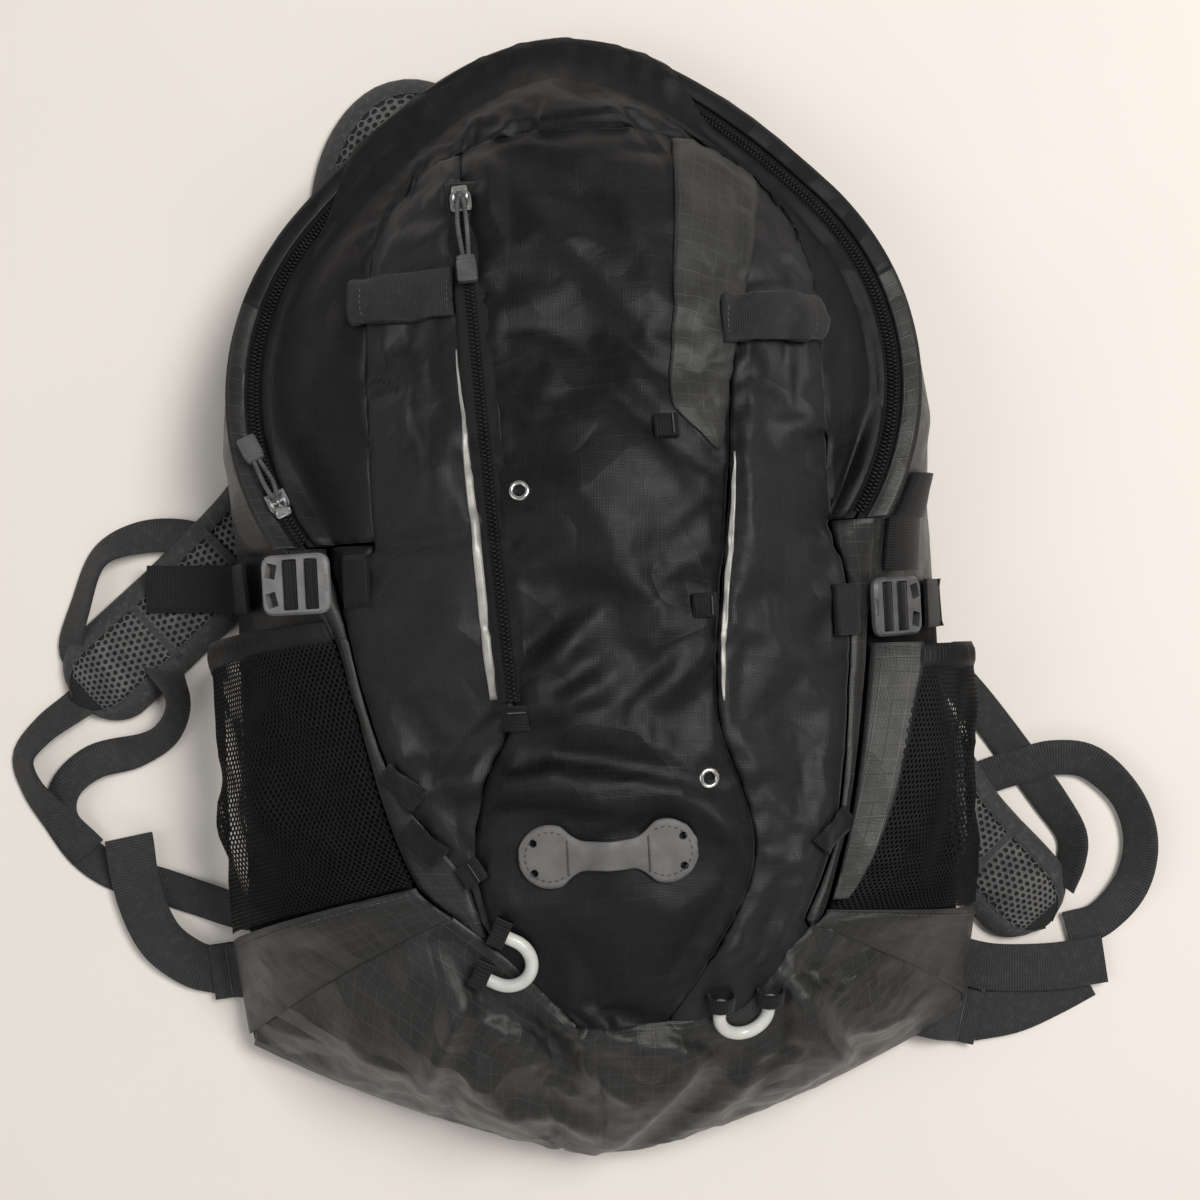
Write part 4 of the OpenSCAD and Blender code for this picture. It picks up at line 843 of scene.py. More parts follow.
def bandRows(rows, cols):
    a = np.linspace(-flapShare, flapShare, rows)[:, None]
    b = a[:, 0]
    qx, qy = archPoint(a)
    e = zipPoint(b, -bag["tape"] - bandSet["gap"], 0)
    t = np.linspace(0, 1, cols)[None, :]
    p = skin(lerp(e[:, None, 0], qx, t), lerp(e[:, None, 1], qy, t))
    p[:, 0] = e
    smooth = ease((np.abs(a) - 0.55) / 0.15)[1:-1, :, None]  # the band lies smooth towards the zip ends
    for k in range(24):
        p[1:-1, 1:-1] = lerp(p[1:-1, 1:-1], neighbours(p), 0.7 * smooth)
    away = (1 - t) * np.hypot(e[:, 0:1] - qx, e[:, 1:2] - qy)  # gathers above the arch seam
    gather = bandSet["gather"] * wobble(a * bandSet["run"] + 0 * t, 0.2 * away, bandSet["gatherStep"], 40)
    p[..., 2] += gather * np.exp(-away / 16) * ease(away / 3) * ease((0.52 - np.abs(a + 0.04)) / 0.2)
    over = ease((b + 0.6) / 0.15) * ease((0.4 - b) / 0.15)  # the hem folds over the chain round the top
    p[:, 1:, 2] += (bandSet["fold"] * over)[:, None] * np.exp(-np.arange(cols - 1) / 3.5)
    ruck = 0.9 * wobble(b * bandSet["run"], 0 * b, 10, 40) * over
    hem = [zipPoint(b, -3.4 + 15.6 * over, 0.2 * over),
           zipPoint(b, -3.3 + 14.6 * over + ruck, 0.75 + 0.65 * over),
           zipPoint(b, -4.2 + 12.2 * over, 1.35 + 0.75 * over + ruck),
           zipPoint(b, -6.4 + 8.6 * over, 1.2 + 0.9 * over + ruck)]
    return np.concatenate([np.stack(hem, 1), p[:, 1:]], 1)


band = bandRows(bandSet["rows"], bandSet["cols"])
band = clothPiece("front_band_cloth", band, blackNylon, roll="r", depth=0.8)
settle(band, "flap", "black_nylon", "front_band")

print("stage: sides and base")


def push(s, bow):
    # out and up by the bow of a side
    s, bow = np.broadcast_arrays(np.asarray(s, float), np.asarray(bow, float))
    return np.stack([s, 0 * s, 0 * s + 1], -1) * (1.4 * bow)[..., None]


def sideRows(s, a, b, bow, cols, start=0.0):
    # rows from the front edge a to the back seam b
    u = np.linspace(start, 1, cols)[None, :, None]
    return bowed(a[:, None], b[:, None], np.broadcast_to(push(s, bow), a.shape)[:, None], u)


def backY(a):
    # height of the back seam behind a place on the main zip
    return bag["topY"] - (bag["topY"] - bag["foldY"]) * a * a


sideSet = {"bow": 5.0, "gussetLow": 122, "low": -10, "wallLow": {-1: -117.5, 1: -129.5},
           "wingLow": {-1: -130, 1: -137}, "under": {-1: -116, 1: -128}}
gussetA = math.sqrt((bag["apexY"] - sideSet["gussetLow"]) / (bag["apexY"] - bag["foldY"]))
roundA = np.linspace(-gussetA, gussetA, 120)
gussetRows = sideRows(np.sign(roundA), zipPoint(roundA, bag["hem"], 0),
                      backSeam(np.sign(roundA), backY(roundA)),
                      sideSet["bow"] * np.minimum(1, 1.4 * np.abs(roundA)), 14)
gusset = clothPiece("top_gusset_cloth", gussetRows, blackNylon, fine=0.5, inside=(0, 60, 10))
settle(gusset, "pack", "black_nylon", "top_gusset")


def sideEdge(s, count):
    # front edge of a side panel, from the pocket up to the gusset
    y = np.linspace(sideSet["low"], bag["foldY"] - 1, 16)
    a = np.linspace(1, gussetA + 0.003, count)
    edge = np.concatenate([wingPoint(s, y), zipPoint(s * a, bag["hem"], 0)])
    return edge, np.concatenate([y, backY(a)])


for s, side in bothSides:
    edge, edgeY = sideEdge(s, 52)
    rows = sideRows(s, edge, backSeam(s, edgeY), sideSet["bow"], 20)
    lu, lv = spans(rows)
    slack = 1.1 * wobble(lu, lv, 26, 7 + s) + 0.5 * wobble(lu, lv, 11, 9)
    rows[..., 0] += s * slack * np.sin(np.pi * np.linspace(0, 1, 20))
    panel = clothPiece("side_panel_%s_cloth" % side, rows, greyRipstop, inside=(0, 40, 20))
    settle(panel, "pack", "grey_ripstop", "side_panel_" + side)
    t = np.linspace(0, 1, 50)
    front = wingPoint(s, lerp(sideSet["low"] - 0.5, sideSet["wallLow"][s], t))
    back = backSeam(s, lerp(sideSet["low"] - 0.5, bag["cornerY"] + 4, t))
    bow = np.interp(t, [0, 0.3, 0.75, 1], [5, -1.5, -1.5, 4])
    rows = sideRows(s, front, back, bow, 18, 0.025)
    wall = clothPiece("side_wall_%s_cloth" % side, rows, pocketLining, inside=(0, -80, 30))
    settle(wall, "pack", "black_nylon", "side_wall_" + side)
    wingY = np.linspace(sideSet["wingLow"][s], bag["foldY"] - 0.5, 64)
    inner = skin(blackLeft(wingY) - 0.4 if s < 0 else rightEdge(wingY) + 0.4, wingY)
    t = np.linspace(0, 1, 9)
    rows = lerp(wingPoint(s, wingY)[:, None], inner[:, None], t[None, :, None])
    rows[..., 2] += 1.2 * np.sin(np.pi * t)
    rows[..., 2] -= 1.4 * ease((sideSet["under"][s] - wingY) / 5)[:, None]  # its end lies under the base
    wing = clothPiece("wing_%s_cloth" % side, rows, greyRipstop, roll="r", depth=0.8)
    settle(wing, "pack", "grey_ripstop", "wing_" + side)

# Net pockets by share of their height: front edge, back edge, bow and reach beyond the back seam
pocketFront = {-1: lineOf([(-0.1, -1.5), (0, -9.5), (1, -105), (1.4, -117)]),
               1: lineOf([(-0.1, -23), (0, -31.5), (1, -124), (1.4, -129.5)])}
pocketBack = {-1: lineOf([(-0.1, -13), (0, -23), (1, -135), (1.4, -175)]),
              1: lineOf([(-0.1, -25), (0, -35), (1, -135), (1.4, -175)])}
pocketBow = lineOf([(-0.1, 24.7), (0.5, 26), (1, 22.1), (1.4, 7.28)])
pocketOut = lineOf([(1, 7), (1.4, 1.6)])


def pocketPoint(s, u, v):
    u, v = np.broadcast_arrays(np.asarray(u, float), np.asarray(v, float))
    y = pocketBack[s](v)
    a = wingPoint(s, pocketFront[s](v)) + np.array([s * 0.6, 0, 2])
    b = np.stack([s * (half(y) + pocketOut(v)), y, 16 + 0 * y], -1)
    return bowed(a, b, push(s, pocketBow(v)), u[..., None])


def outFrom(p):
    # unit direction away from the middle of the bag
    return unit(p - np.stack([0 * p[..., 0], np.clip(p[..., 1], -150, 150), 0 * p[..., 0] + 34], -1))


baseEdgeX = lineOf([(-1, -52.5), (-0.8, -40.5), (-0.45, -18), (-0.15, -8), (0.3, 44), (0.8, 74), (1, 79)])
baseEdgeY = lineOf([(-1, -119.5), (-0.8, -129.5), (-0.45, -154), (-0.15, -163), (0.3, -163), (0.8, -135),
                    (1, -131.5)])
# Pleats that run from the loops and the bottom point up the base
baseRidges = [
    ([(-43, -128), (-58, -158), (-78, -194)], 4.6, 5.0), ([(-40, -140), (-34, -162), (-20, -182)], 3.8, 4.0),
    ([(-100, -150), (-112, -170), (-122, -184)], 3.2, 5.0),
    ([(-70, -148), (-92, -162), (-112, -170)], 3.0, 4.5),
    ([(-16, -168), (-6, -182), (8, -196)], 2.6, 4.0), ([(66, -140), (80, -162), (92, -190)], 4.0, 5.0),
    ([(88, -142), (108, -158), (128, -176)], 3.2, 4.5), ([(60, -158), (58, -178), (48, -200)], 3.0, 4.5),
    ([(-46, -196), (-20, -204), (2, -218)], 2.6, 4.5)]
baseCliffs = [
    ([(3, -221), (22, -199), (42, -174)], 6.0, 1.6, 24),
    ([(-30, -212), (-44, -186), (-54, -160)], 4.2, 1.6, 18),
    ([(104, -196), (86, -174), (70, -152)], 3.6, 1.8, 18)]
u, v = np.meshgrid(np.linspace(-1, 1, 200), np.linspace(0, 1, 60))
baseX = lerp(bag["corner"] * u, baseEdgeX(u), v)
baseY = lerp(lerp(bag["bottomY"], bag["cornerY"], np.abs(u) ** 1.6), baseEdgeY(u), v)
pleat = foldHeight(baseX, baseY, baseRidges, baseCliffs)
pleat *= ease(v / 0.2) * ease((1 - v) / 0.16) * ease((0.86 - np.abs(u)) / 0.16)
for sx, sy, reach, rest in calmSpots:
    pleat *= ease((np.hypot(baseX - sx, baseY - sy) - reach - 2) / 14)
baseRows = skin(baseX, baseY) + skinNormal(baseX, baseY) * pleat[..., None]
tuckShare = (ease((np.abs(u) - 0.72) / 0.28) * ease(v / 0.04))[..., None]
for s, cut in ((-1, u < 0), (1, u > 0)):  # the ends of the base tuck under the pocket cups
    tuck = pocketPoint(s, 1 - v, 1.385)
    baseRows = np.where(cut[..., None], lerp(baseRows, tuck - outFrom(tuck), tuckShare), baseRows)
baseRows[..., 2] += 1.1 * ease((v - 0.7) / 0.25)
base = clothPiece("base_cloth", baseRows, greyRipstop, roll="t", depth=0.9, inside=(0, -120, 20))
settle(base, "pack", "grey_ripstop", "base_panel")

accentSet = {"low": 53.5, "arch": (44.5, 79), "lift": 1.5}
accentLeft = lineOf([(53.5, 53), (60, 46), (71, 36), (100, 38), (140, 41), (186, 44.8)])
accentRight = lineOf([(53.5, 54), (66, 57), (81, 60), (118, 69.5), (152, 76), (186, 80)])
rows = panelRows(accentLeft, accentRight, accentSet["low"],
                 lambda u: archOver(lerp(*accentSet["arch"], u)) - frontSet["over"], 18, 60)
rows += skinNormal(rows[..., 0], rows[..., 1]) * accentSet["lift"]
accent = clothPiece("accent_cloth", rows, accentRipstop, thick=0.7, roll="lr", depth=0.6)
settle(accent, "flap", "grey_ripstop", "accent_patch")

print("stage: zips and piping")


def acrossOf(path, up):
    # sideways and upwards along a path
    d = unit(np.gradient(path, axis=0))
    side = unit(np.cross(d, np.broadcast_to(np.asarray(up, float), path.shape)))
    return side, np.cross(side, d)


def tubeFaces(rings, count, start=0):
    faces = []
    for i in range(rings - 1):
        for j in range(count):
            a, b = start + i * count + j, start + i * count + (j + 1) % count
            faces.append([a, b, b + count, a + count])
    ends = [list(range(start, start + count))[::-1]]
    return faces + ends + [list(range(start + (rings - 1) * count, start + rings * count))]


def loft(name, rings, mat, uv=None):
    return piece(name, rings, tubeFaces(*rings.shape[:2]), mat, uv)


def activeOnly(obj):
    bpy.ops.object.select_all(action="DESELECT")
    obj.select_set(True)
    bpy.context.view_layer.objects.active = obj


def consistent(obj, angle=40):
    # faces outwards, shaded smooth up to an angle
    activeOnly(obj)
    bpy.ops.object.mode_set(mode="EDIT")
    bpy.ops.mesh.select_all(action="SELECT")
    bpy.ops.mesh.normals_make_consistent(inside=False)
    bpy.ops.object.mode_set(mode="OBJECT")
    bpy.ops.object.shade_smooth_by_angle(angle=math.radians(angle))
    obj.select_set(False)
    return obj


def cutBy(obj, cutter):
    cut = obj.modifiers.new("cut", "BOOLEAN")
    cut.operation, cut.solver, cut.object = "DIFFERENCE", "EXACT", cutter
    activeOnly(obj)
    bpy.ops.object.modifier_apply(modifier="cut")
    bpy.data.objects.remove(cutter)
    obj.select_set(False)


# Section of webbing, in shares of its width and thickness
webProfile = np.array([(-0.5, 0.3), (-0.5, 0.75), (-0.47, 1), (-0.3, 0.96), (0, 0.95), (0.3, 0.96), (0.47, 1),
                       (0.5, 0.75), (0.5, 0.3), (0.47, 0), (0, 0.03), (-0.47, 0)])


def ribbon(name, path, up, width, thick, mat):
    # webbing with raised selvedges, path on its underside
    path = np.asarray(path, float)
    side, top = acrossOf(path, up)
    section = webProfile[::-1] * np.array([width, thick])
    rings = path[:, None] + side[:, None] * section[None, :, 0:1] + top[:, None] * section[None, :, 1:2]
    uv = np.stack(np.broadcast_arrays(section[None, :, 0], runOf(path)[:, None]), -1)
    return loft(name, rings, mat, uv)


def upsOf(path, across):
    # upwards along a path that bends about one direction
    return unit(np.cross(np.gradient(path, axis=0), np.array(across, float)))


def curveThrough(points, step):
    # smooth curve through the points, then even steps
    p = np.asarray(points, float)
    q = np.vstack([2 * p[0] - p[1], p, 2 * p[-1] - p[-2]])
    t = np.linspace(0, 1, 24, endpoint=False)[:, None]
    out = []
    for i in range(len(p) - 1):
        a, b, c, d = q[i:i + 4]
        square, cube = a * 2 - b * 5 + c * 4 - d, b * 3 - a - c * 3 + d
        out.append((b * 2 + (c - a) * t + square * t * t + cube * t ** 3) / 2)
    out = np.vstack(out + [p[-1]])
    run = runOf(out)
    return picked(out, run, np.linspace(0, run[-1], max(2, int(round(run[-1] / step)) + 1)))


def bars(name, stations, bend, count, squash, mat):
    # a small bent bar at each station: bend gives the way along, rise and radius of its rings
    points, faces = [], []
    for k, (centre, axis, across, up) in enumerate(stations):
        for out, rise, r in bend:
            for a in range(count):
                w = 2 * math.pi * a / count
                ring = across * r * math.cos(w) + up * r * squash * math.sin(w)
                points.append(centre + axis * out + up * rise + ring)
        faces += tubeFaces(len(bend), count, k * len(bend) * count)
    return piece(name, points, faces, mat)


# A stitch by share of its length: share of the thread's radius, and its height
stitchBend = ((-0.5, 0.35, -0.25), (-0.28, 1, 0.1), (0.28, 1, 0.1), (0.5, 0.35, -0.25))


def sewn(name, path, up, step, length, radius, body, slot):
    # a row of thread bars that dip at both ends
    path = np.asarray(path, float)
    up = np.broadcast_to(np.asarray(up, float), path.shape)
    run = runOf(path)
    stations = []
    for k in range(int(run[-1] // step)):
        at = (k + 0.5) * step
        d = picked(path, run, min(at + 0.5, run[-1])) - picked(path, run, max(at - 0.5, 0))
        d /= max(np.linalg.norm(d), 1e-9)
        n = picked(up, run, at)
        stations.append((picked(path, run, at), d, np.cross(d, n), n))
    bend = [(share * length, rise, r * radius) for share, r, rise in stitchBend]
    settle(bars(name, stations, bend, 5, 1.0, stitchThread), body, slot)


coilSet = {"pitch": 1.7, "radius": 0.52, "main": 2.3, "pocket": 2.0}


def coil(name, path, side, up, reach, shift):
    # one half of a nylon coil: a bent bar for each turn
    run = runOf(path)
    stations = []
    for k in range(int(run[-1] / coilSet["pitch"] - 0.6)):
        c, x, z = (picked(q, run, (k + 0.3 + shift) * coilSet["pitch"]) for q in (path, side, up))
        stations.append((c, x, np.cross(z, x), z))
    r = coilSet["radius"]
    bend = [(-0.35, -0.1, 0.8 * r), (0.3, 0.28, r), (reach * 0.62, 0.34, r), (reach, -0.18, 0.8 * r)]
    return bars(name, stations, bend, 6, 0.9, toothPlastic)


def zipRows(a, marks):
    return np.stack([zipPoint(a, off, w) for off, w in marks], 1)


# Places beside the main zip's chain: how far out and how high
hemMarks = [(3.5, 0.0), (3.3, 0.5), (4.2, 0.9), (6.8, 0.85), (9.4, 0.6), (11.2, 0.1)]
tapeMarks = [(0.5, -0.75), (2.6, -0.7), (5.2, -0.72), (7.9, -0.75)]
for where, first, last, mat, slot in (("top", -gussetA, gussetA, blackNylon, "black_nylon"),
                                      ("left", -1, -gussetA, greyRipstop, "grey_ripstop"),
                                      ("right", gussetA, 1, greyRipstop, "grey_ripstop")):
    rows = zipRows(np.linspace(first, last, 120), hemMarks)
    settle(clothPiece("zip_hem_" + where, rows, mat, thick=0.5, fine=0.08, facing=zipUp), "pack", slot)
chain = zipPoint(np.linspace(-0.996, 0.996, 900), 0, -0.1)
chainUp = np.broadcast_to(np.array(zipUp), chain.shape)
chainOut = -np.cross(unit(np.gradient(chain, axis=0)), chainUp)
for where, body, way, share, shift in (("outer", "pack", 1, 1.0, 0.0), ("inner", "flap", -1, flapShare, 0.5)):
    rows = zipRows(np.linspace(-1, 1, 260) * share, [(way * off, w) for off, w in tapeMarks[::way]])
    tape = clothPiece("main_zip_%s_tape" % where, rows, zipTape, thick=0.5, fine=0.0, facing=zipUp)
    settle(tape, body, "zip_tape", "main_zip_" + where)
    teeth = coil("main_zip_%s_coil" % where, chain, way * chainOut, chainUp, coilSet["main"], shift)
    settle(teeth, body, "zip_tape")

slideSet = {"top": 158, "end": 64, "lift": 3.2, "loose": 1.9, "soft": 8}
slideZ = [float(baseFront(np.array(zipX(y)), np.array(float(y)))) for y in (slideSet["top"], slideSet["end"])]


def tapeZ(y):
    # straight where the slider runs, loose on the cloth below that
    straight = lerp(*slideZ, (slideSet["top"] - y) / (slideSet["top"] - slideSet["end"])) + slideSet["lift"]
    loose = skin(zipX(y), y)[..., 2] + slideSet["loose"]
    return lerp(loose, straight, ease((y - slideSet["end"] + slideSet["soft"]) / slideSet["soft"]))


pocketY = np.linspace(-36, 166, 150)
pocketMid = np.stack([zipX(pocketY), pocketY, tapeZ(pocketY)], 1)
sunk = [skin(pocketMid[:, 0] + off, pocketY) - np.array([0, 0, 0.3]) for off in (-6.6, 6.6)]
flat = [pocketMid + np.array([off, 0, rise]) for off, rise in ((-5, 0), (-2.4, 0.15), (2.4, 0.15), (5, 0))]
tape = clothPiece("pocket_zip_tape", np.stack([sunk[0], *flat, sunk[1]], 1), zipTape, thick=0.6, fine=0.0)
settle(tape, "fold", "zip_tape", "pocket_zip_upper", "pocket_zip_lower")
pocketPath = pocketMid + np.array([0, 0, 0.55])
pocketSide, pocketUp = acrossOf(pocketPath, (0, 0, 1))
for (k, side), shift in zip(bothSides, (0.0, 0.5)):
    coilHalf = coil("pocket_coil_" + side, pocketPath, pocketSide * k, pocketUp, coilSet["pocket"], shift)
    settle(coilHalf, "fold", "zip_tape")


def piping(name, x, y, widths, *nodes):
    x = x[:, None] + np.linspace(-0.5, 0.5, 4)[None, :] * widths[:, None]
    y = np.broadcast_to(y[:, None], x.shape)
    rows = skin(x, y) + skinNormal(x, y) * 0.9
    strip = clothPiece(name, rows, reflective, thick=0.5, fine=0.05, roll="lr", depth=0.25)
    settle(strip, "fold", "reflective", *nodes)


y = np.linspace(-35, 98, 70)
piping("piping_left", zipX(y) - 7.4, y, 0.5 + 2.6 * ease((98 - y) / 60), "piping_upper", "piping_lower")
y = np.linspace(-40, 52, 50)
piping("piping_right", innerRight(y) + 1.9, y, 0.6 + 1.6 * np.sin(np.pi * (y + 40) / 92) ** 0.6)

print("stage: sliders and pulls")


def moved(points, matrix):
    return np.asarray(points, float) @ np.array(matrix.to_3x3()).T + np.array(matrix.translation)


def turned(ways, matrix):
    return np.asarray(ways, float) @ np.array(matrix.to_3x3()).T


def plate(outline, low, high, bevel):
    # rings of a closed plate with bevelled edges
    o = np.array(outline, float)
    centre = o.mean(0)
    inner = centre + (o - centre) * (1 - bevel / np.linalg.norm(o - centre, axis=1, keepdims=True))
    levels = ((inner, low), (o, low + bevel), (o, high - bevel), (inner, high))
    return np.stack([np.c_[plan, np.full(len(o), z)] for plan, z in levels])


def roundBox(x0, y0, z0, x1, y1, z1, r):
    outline = []
    for k, (sx, sy) in enumerate(((1, 1), (-1, 1), (-1, -1), (1, -1))):
        x, y = (x0 + x1) / 2 + sx * ((x1 - x0) / 2 - r), (y0 + y1) / 2 + sy * ((y1 - y0) / 2 - r)
        for a in np.linspace(0, math.pi / 2, 4) + k * math.pi / 2:
            outline.append((x + r * math.cos(a), y + r * math.sin(a)))
    return plate(outline, z0, z1, min(r * 0.6, (z1 - z0) * 0.3))


def ringsAlong(path, radius, count=8, up=(0.31, 0.17, 0.93)):
    # rings of a round cord or rod
    path = np.asarray(path, float)
    side, top = acrossOf(path, up)
    a = np.linspace(0, 2 * np.pi, count, endpoint=False)
    r = np.broadcast_to(np.asarray(radius, float), len(path))[:, None]
    ring = side[:, None] * (np.cos(a) * r)[..., None] + top[:, None] * (np.sin(a) * r)[..., None]
    return path[:, None] + ring


def gathered(name, lofts, at, mat, angle=40):
    # several closed lofts in one mesh
    points, faces, count = [], [], 0
    for rings in lofts:
        points.append(rings.reshape(-1, 3))
        faces += tubeFaces(*rings.shape[:2], count)
        count += len(points[-1])
    return consistent(piece(name, moved(np.concatenate(points), at), faces, mat), angle)


def rotation(axis, degrees):
    return Matrix.Rotation(math.radians(degrees), 4, axis)


def shifted(x, y, z):
    return Matrix.Translation((x, y, z))


# Rest places of the two sliders, as in the construction
arcSet = {"angle": 25, "height": 1.4}
mainFrame = (shifted(0, bag["arcY"], float(planeZ(bag["arcY"]))) @ rotation("X", -math.degrees(tilt))
             @ shifted(-bag["arcX"], 0, 0) @ rotation("Z", 180 + arcSet["angle"])
             @ shifted(bag["arcR"], 0, arcSet["height"]))
lineFrame = (shifted(-39.64, 158, 76.3512) @ rotation("Z", 3.43363) @ rotation("X", -18.0194)
             @ shifted(0, 0, 0.4))
sliderPlan = [(-4.2, -4.6), (-3.6, -5.5), (3.6, -5.5), (4.2, -4.6), (4.2, 1.0), (3.3, 3.2), (3.1, 5.0),
              (2.4, 5.5), (-2.4, 5.5), (-3.1, 5.0), (-3.3, 3.2), (-4.2, 1.0)]
sliderArch = [(-3.2, 1.1), (-2.6, 3.4), (-1.2, 4.6), (0.8, 4.6), (2.4, 3.2), (3.0, 1.1)]
pullSet = {"main": 30, "pocket": 38, "grip": 11, "hinge": 4.2, "step": 0.45}


def slider(label, at):
    lofts = [plate(sliderPlan, 0.05, 1.45, 0.35)]
    lofts += [roundBox(k * 3.6 - 0.55, -5.2, 0.1, k * 3.6 + 0.55, 1.2, 1.9, 0.35) for k in (-1, 1)]
    for k in (-1, 1):
        arch = curveThrough([(k * 2.6, y, z) for y, z in sliderArch], 0.7)
        lofts.append(ringsAlong(arch, 0.62, 8, (1, 0.02, 0.03)))
    lofts.append(ringsAlong([(x, 0, pullSet["hinge"]) for x in (-3.2, -1, 1, 3.2)], 0.75, 12))
    obj = gathered(label + "_slider_metal", lofts, at, sliderMetal)
    settle(obj, label + "_slider", "slider_metal", label + "_zip_slider")


def pull(label, at):
    # ring, two cords with a knot over the ring, and a moulded grip
    at = at @ shifted(0, 0, pullSet["hinge"]) @ rotation("Z", 180)
    name, length = label + "_pull", pullSet[label]
    start = length - pullSet["grip"]
    a = np.linspace(0, 2 * np.pi, 17)
    eye = ringsAlong(np.stack([0 * a, 1.35 * np.cos(a), 1.35 * np.sin(a)], 1), 0.5, 8, (1, 0.01, 0.02))
    settle(gathered(name + "_eye", [eye], at, sliderMetal), name, "slider_metal")
    cords = []
    for k, wide in ((-1, 1.55), (1, 1.9)):
        path = curveThrough([(k * 0.4, 1.0, 0.2), (k * 1.25, 4, 0.25), (k * wide, start * 0.5, 0.0),
                             (k * 1.2, start - 2, 0.1), (k * 1.0, start + 1.5, 0)], pullSet["step"])
        twist = np.sin(np.arange(len(path)) * pullSet["step"] * 5.2)
        cords.append(ringsAlong(path, 0.92 + 0.07 * twist, 9))
    cords.append(ringsAlong(curveThrough([(-1.5, 0.9, 0.3), (0, 0.2, 1.35), (1.5, 0.9, 0.3)], 0.4), 0.85, 9))
    settle(gathered(name + "_cord", cords, at, cordGrey, 70), name, "pull_grey", label + "_zip_pull")
    grip = [roundBox(-3.5, start, -1.75, 3.5, start + 2.4, 1.75, 1.1),
            roundBox(-3.9, start + 1.6, -1.8, 3.9, length, 1.8, 1.3),
            roundBox(-2.7, start + 3.4, -2.0, 2.7, length - 1.6, 2.0, 0.8)]
    settle(gathered(name + "_grip", grip, at, gripGrey), name, "pull_grey")


for label, at in (("main", mainFrame), ("pocket", lineFrame)):
    slider(label, at)
    pull(label, at)

print("stage: front fittings")


def sitFrame(x, y, lift, onSkin=True):
    # foot frame on the front, local Z off the cloth
    front = lambda a, b: float(baseFront(np.array(a, float), np.array(b, float)))
    sx, sy = front(x + 0.5, y) - front(x - 0.5, y), front(x, y + 0.5) - front(x, y - 0.5)
    foot = skin(x, y) if onSkin else (x, y, front(x, y))
    return (shifted(*(float(c) for c in foot)) @ Matrix.Rotation(-math.atan(sx), 4, "Y")
            @ Matrix.Rotation(math.atan2(sy, math.sqrt(1 + sx * sx)), 4, "X") @ shifted(0, 0, lift))


def inMetres(matrix):
    m = matrix.copy()
    m.translation = m.translation * mm
    return m


# Roots in mm and hinges in metres, by side
tabSet = {"length": 42, "width": 19, "thick": 1.8, "root": {-1: (-44.5, 121), 1: (59, 105)},
          "lift": {-1: 0.6, 1: 2.9}, "hinge": {-1: (-0.046, 0.121, 0.08625), 1: (0.06252, 0.105, 0.08927)}}
for s, side in bothSides:
    v, t = np.linspace(-1, 1, 15)[None, :], np.linspace(0, 1, 40)[:, None]
    reach = tabSet["length"] - 3.2 * np.abs(v) ** 5
    rootX, rootY = tabSet["root"][s]
    flat = skin(rootX + s * reach * t, rootY + v * tabSet["width"] / 2 + 0 * t)
    for k in range(6):  # stiff webbing bridges the small folds
        flat[1:-1, 1:-1] = neighbours(flat)
    flat[..., 2] += tabSet["lift"][s] + tabSet["thick"] + 0.4 + 1.1 * t * t
    tab = clothPiece("tool_tab_%s_webbing" % side, flat, tabWebbing, thick=tabSet["thick"], roll="lr",
                     depth=0.12, fine=0.02)
    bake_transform(tab)
    named(["tool_tab_" + side])
    seams = (("seam", flat[1:3, 2:-2].mean(0), 2.4, 1.8, 0.26, "flap"),
             ("hem", flat[34, 2:-2], 2.6, 1.9, 0.24, side + "_tab"))
    for label, line, step, length, radius, body in seams:
        sewn("tool_tab_%s_%s" % (side, label), line + np.array([0, 0, 0.1]), (0, 0.28, 0.96), step, length,
             radius, body, "black_webbing")


def lathed(profile, count):
    # a closed profile turned round the local Z axis
    a = np.linspace(0, 2 * np.pi, count, endpoint=False)
    r, z = np.array(profile, float).T[:, :, None]
    points = np.stack(np.broadcast_arrays(r * np.cos(a), r * np.sin(a), z), -1).reshape(-1, 3)
    faces = []
    for i in range(len(profile)):
        for j in range(count):
            k, m = (i + 1) % len(profile), (j + 1) % count
            faces.append([i * count + j, i * count + m, k * count + m, k * count + j])
    return points, faces


eyeletSet = {"upper": (-21, 41, "flap"), "lower": (42, -68, "pack"), "lift": 0.25,
             "profile": [(2.2, -1.8), (2.75, -1.8), (2.8, -0.2), (4.0, 0.1), (4.0, 0.55), (3.6, 1.05),
                         (3.0, 1.2),
                         (2.5, 1.0), (2.2, 0.5)]}
for where in ("upper", "lower"):
    x, y, body = eyeletSet[where]
    points, faces = lathed(eyeletSet["profile"], 28)
    ring = piece("eyelet_%s_ring" % where, moved(points, sitFrame(x, y, eyeletSet["lift"])), faces, nickel)
    settle(consistent(ring), body, "nickel", "eyelet_" + where)

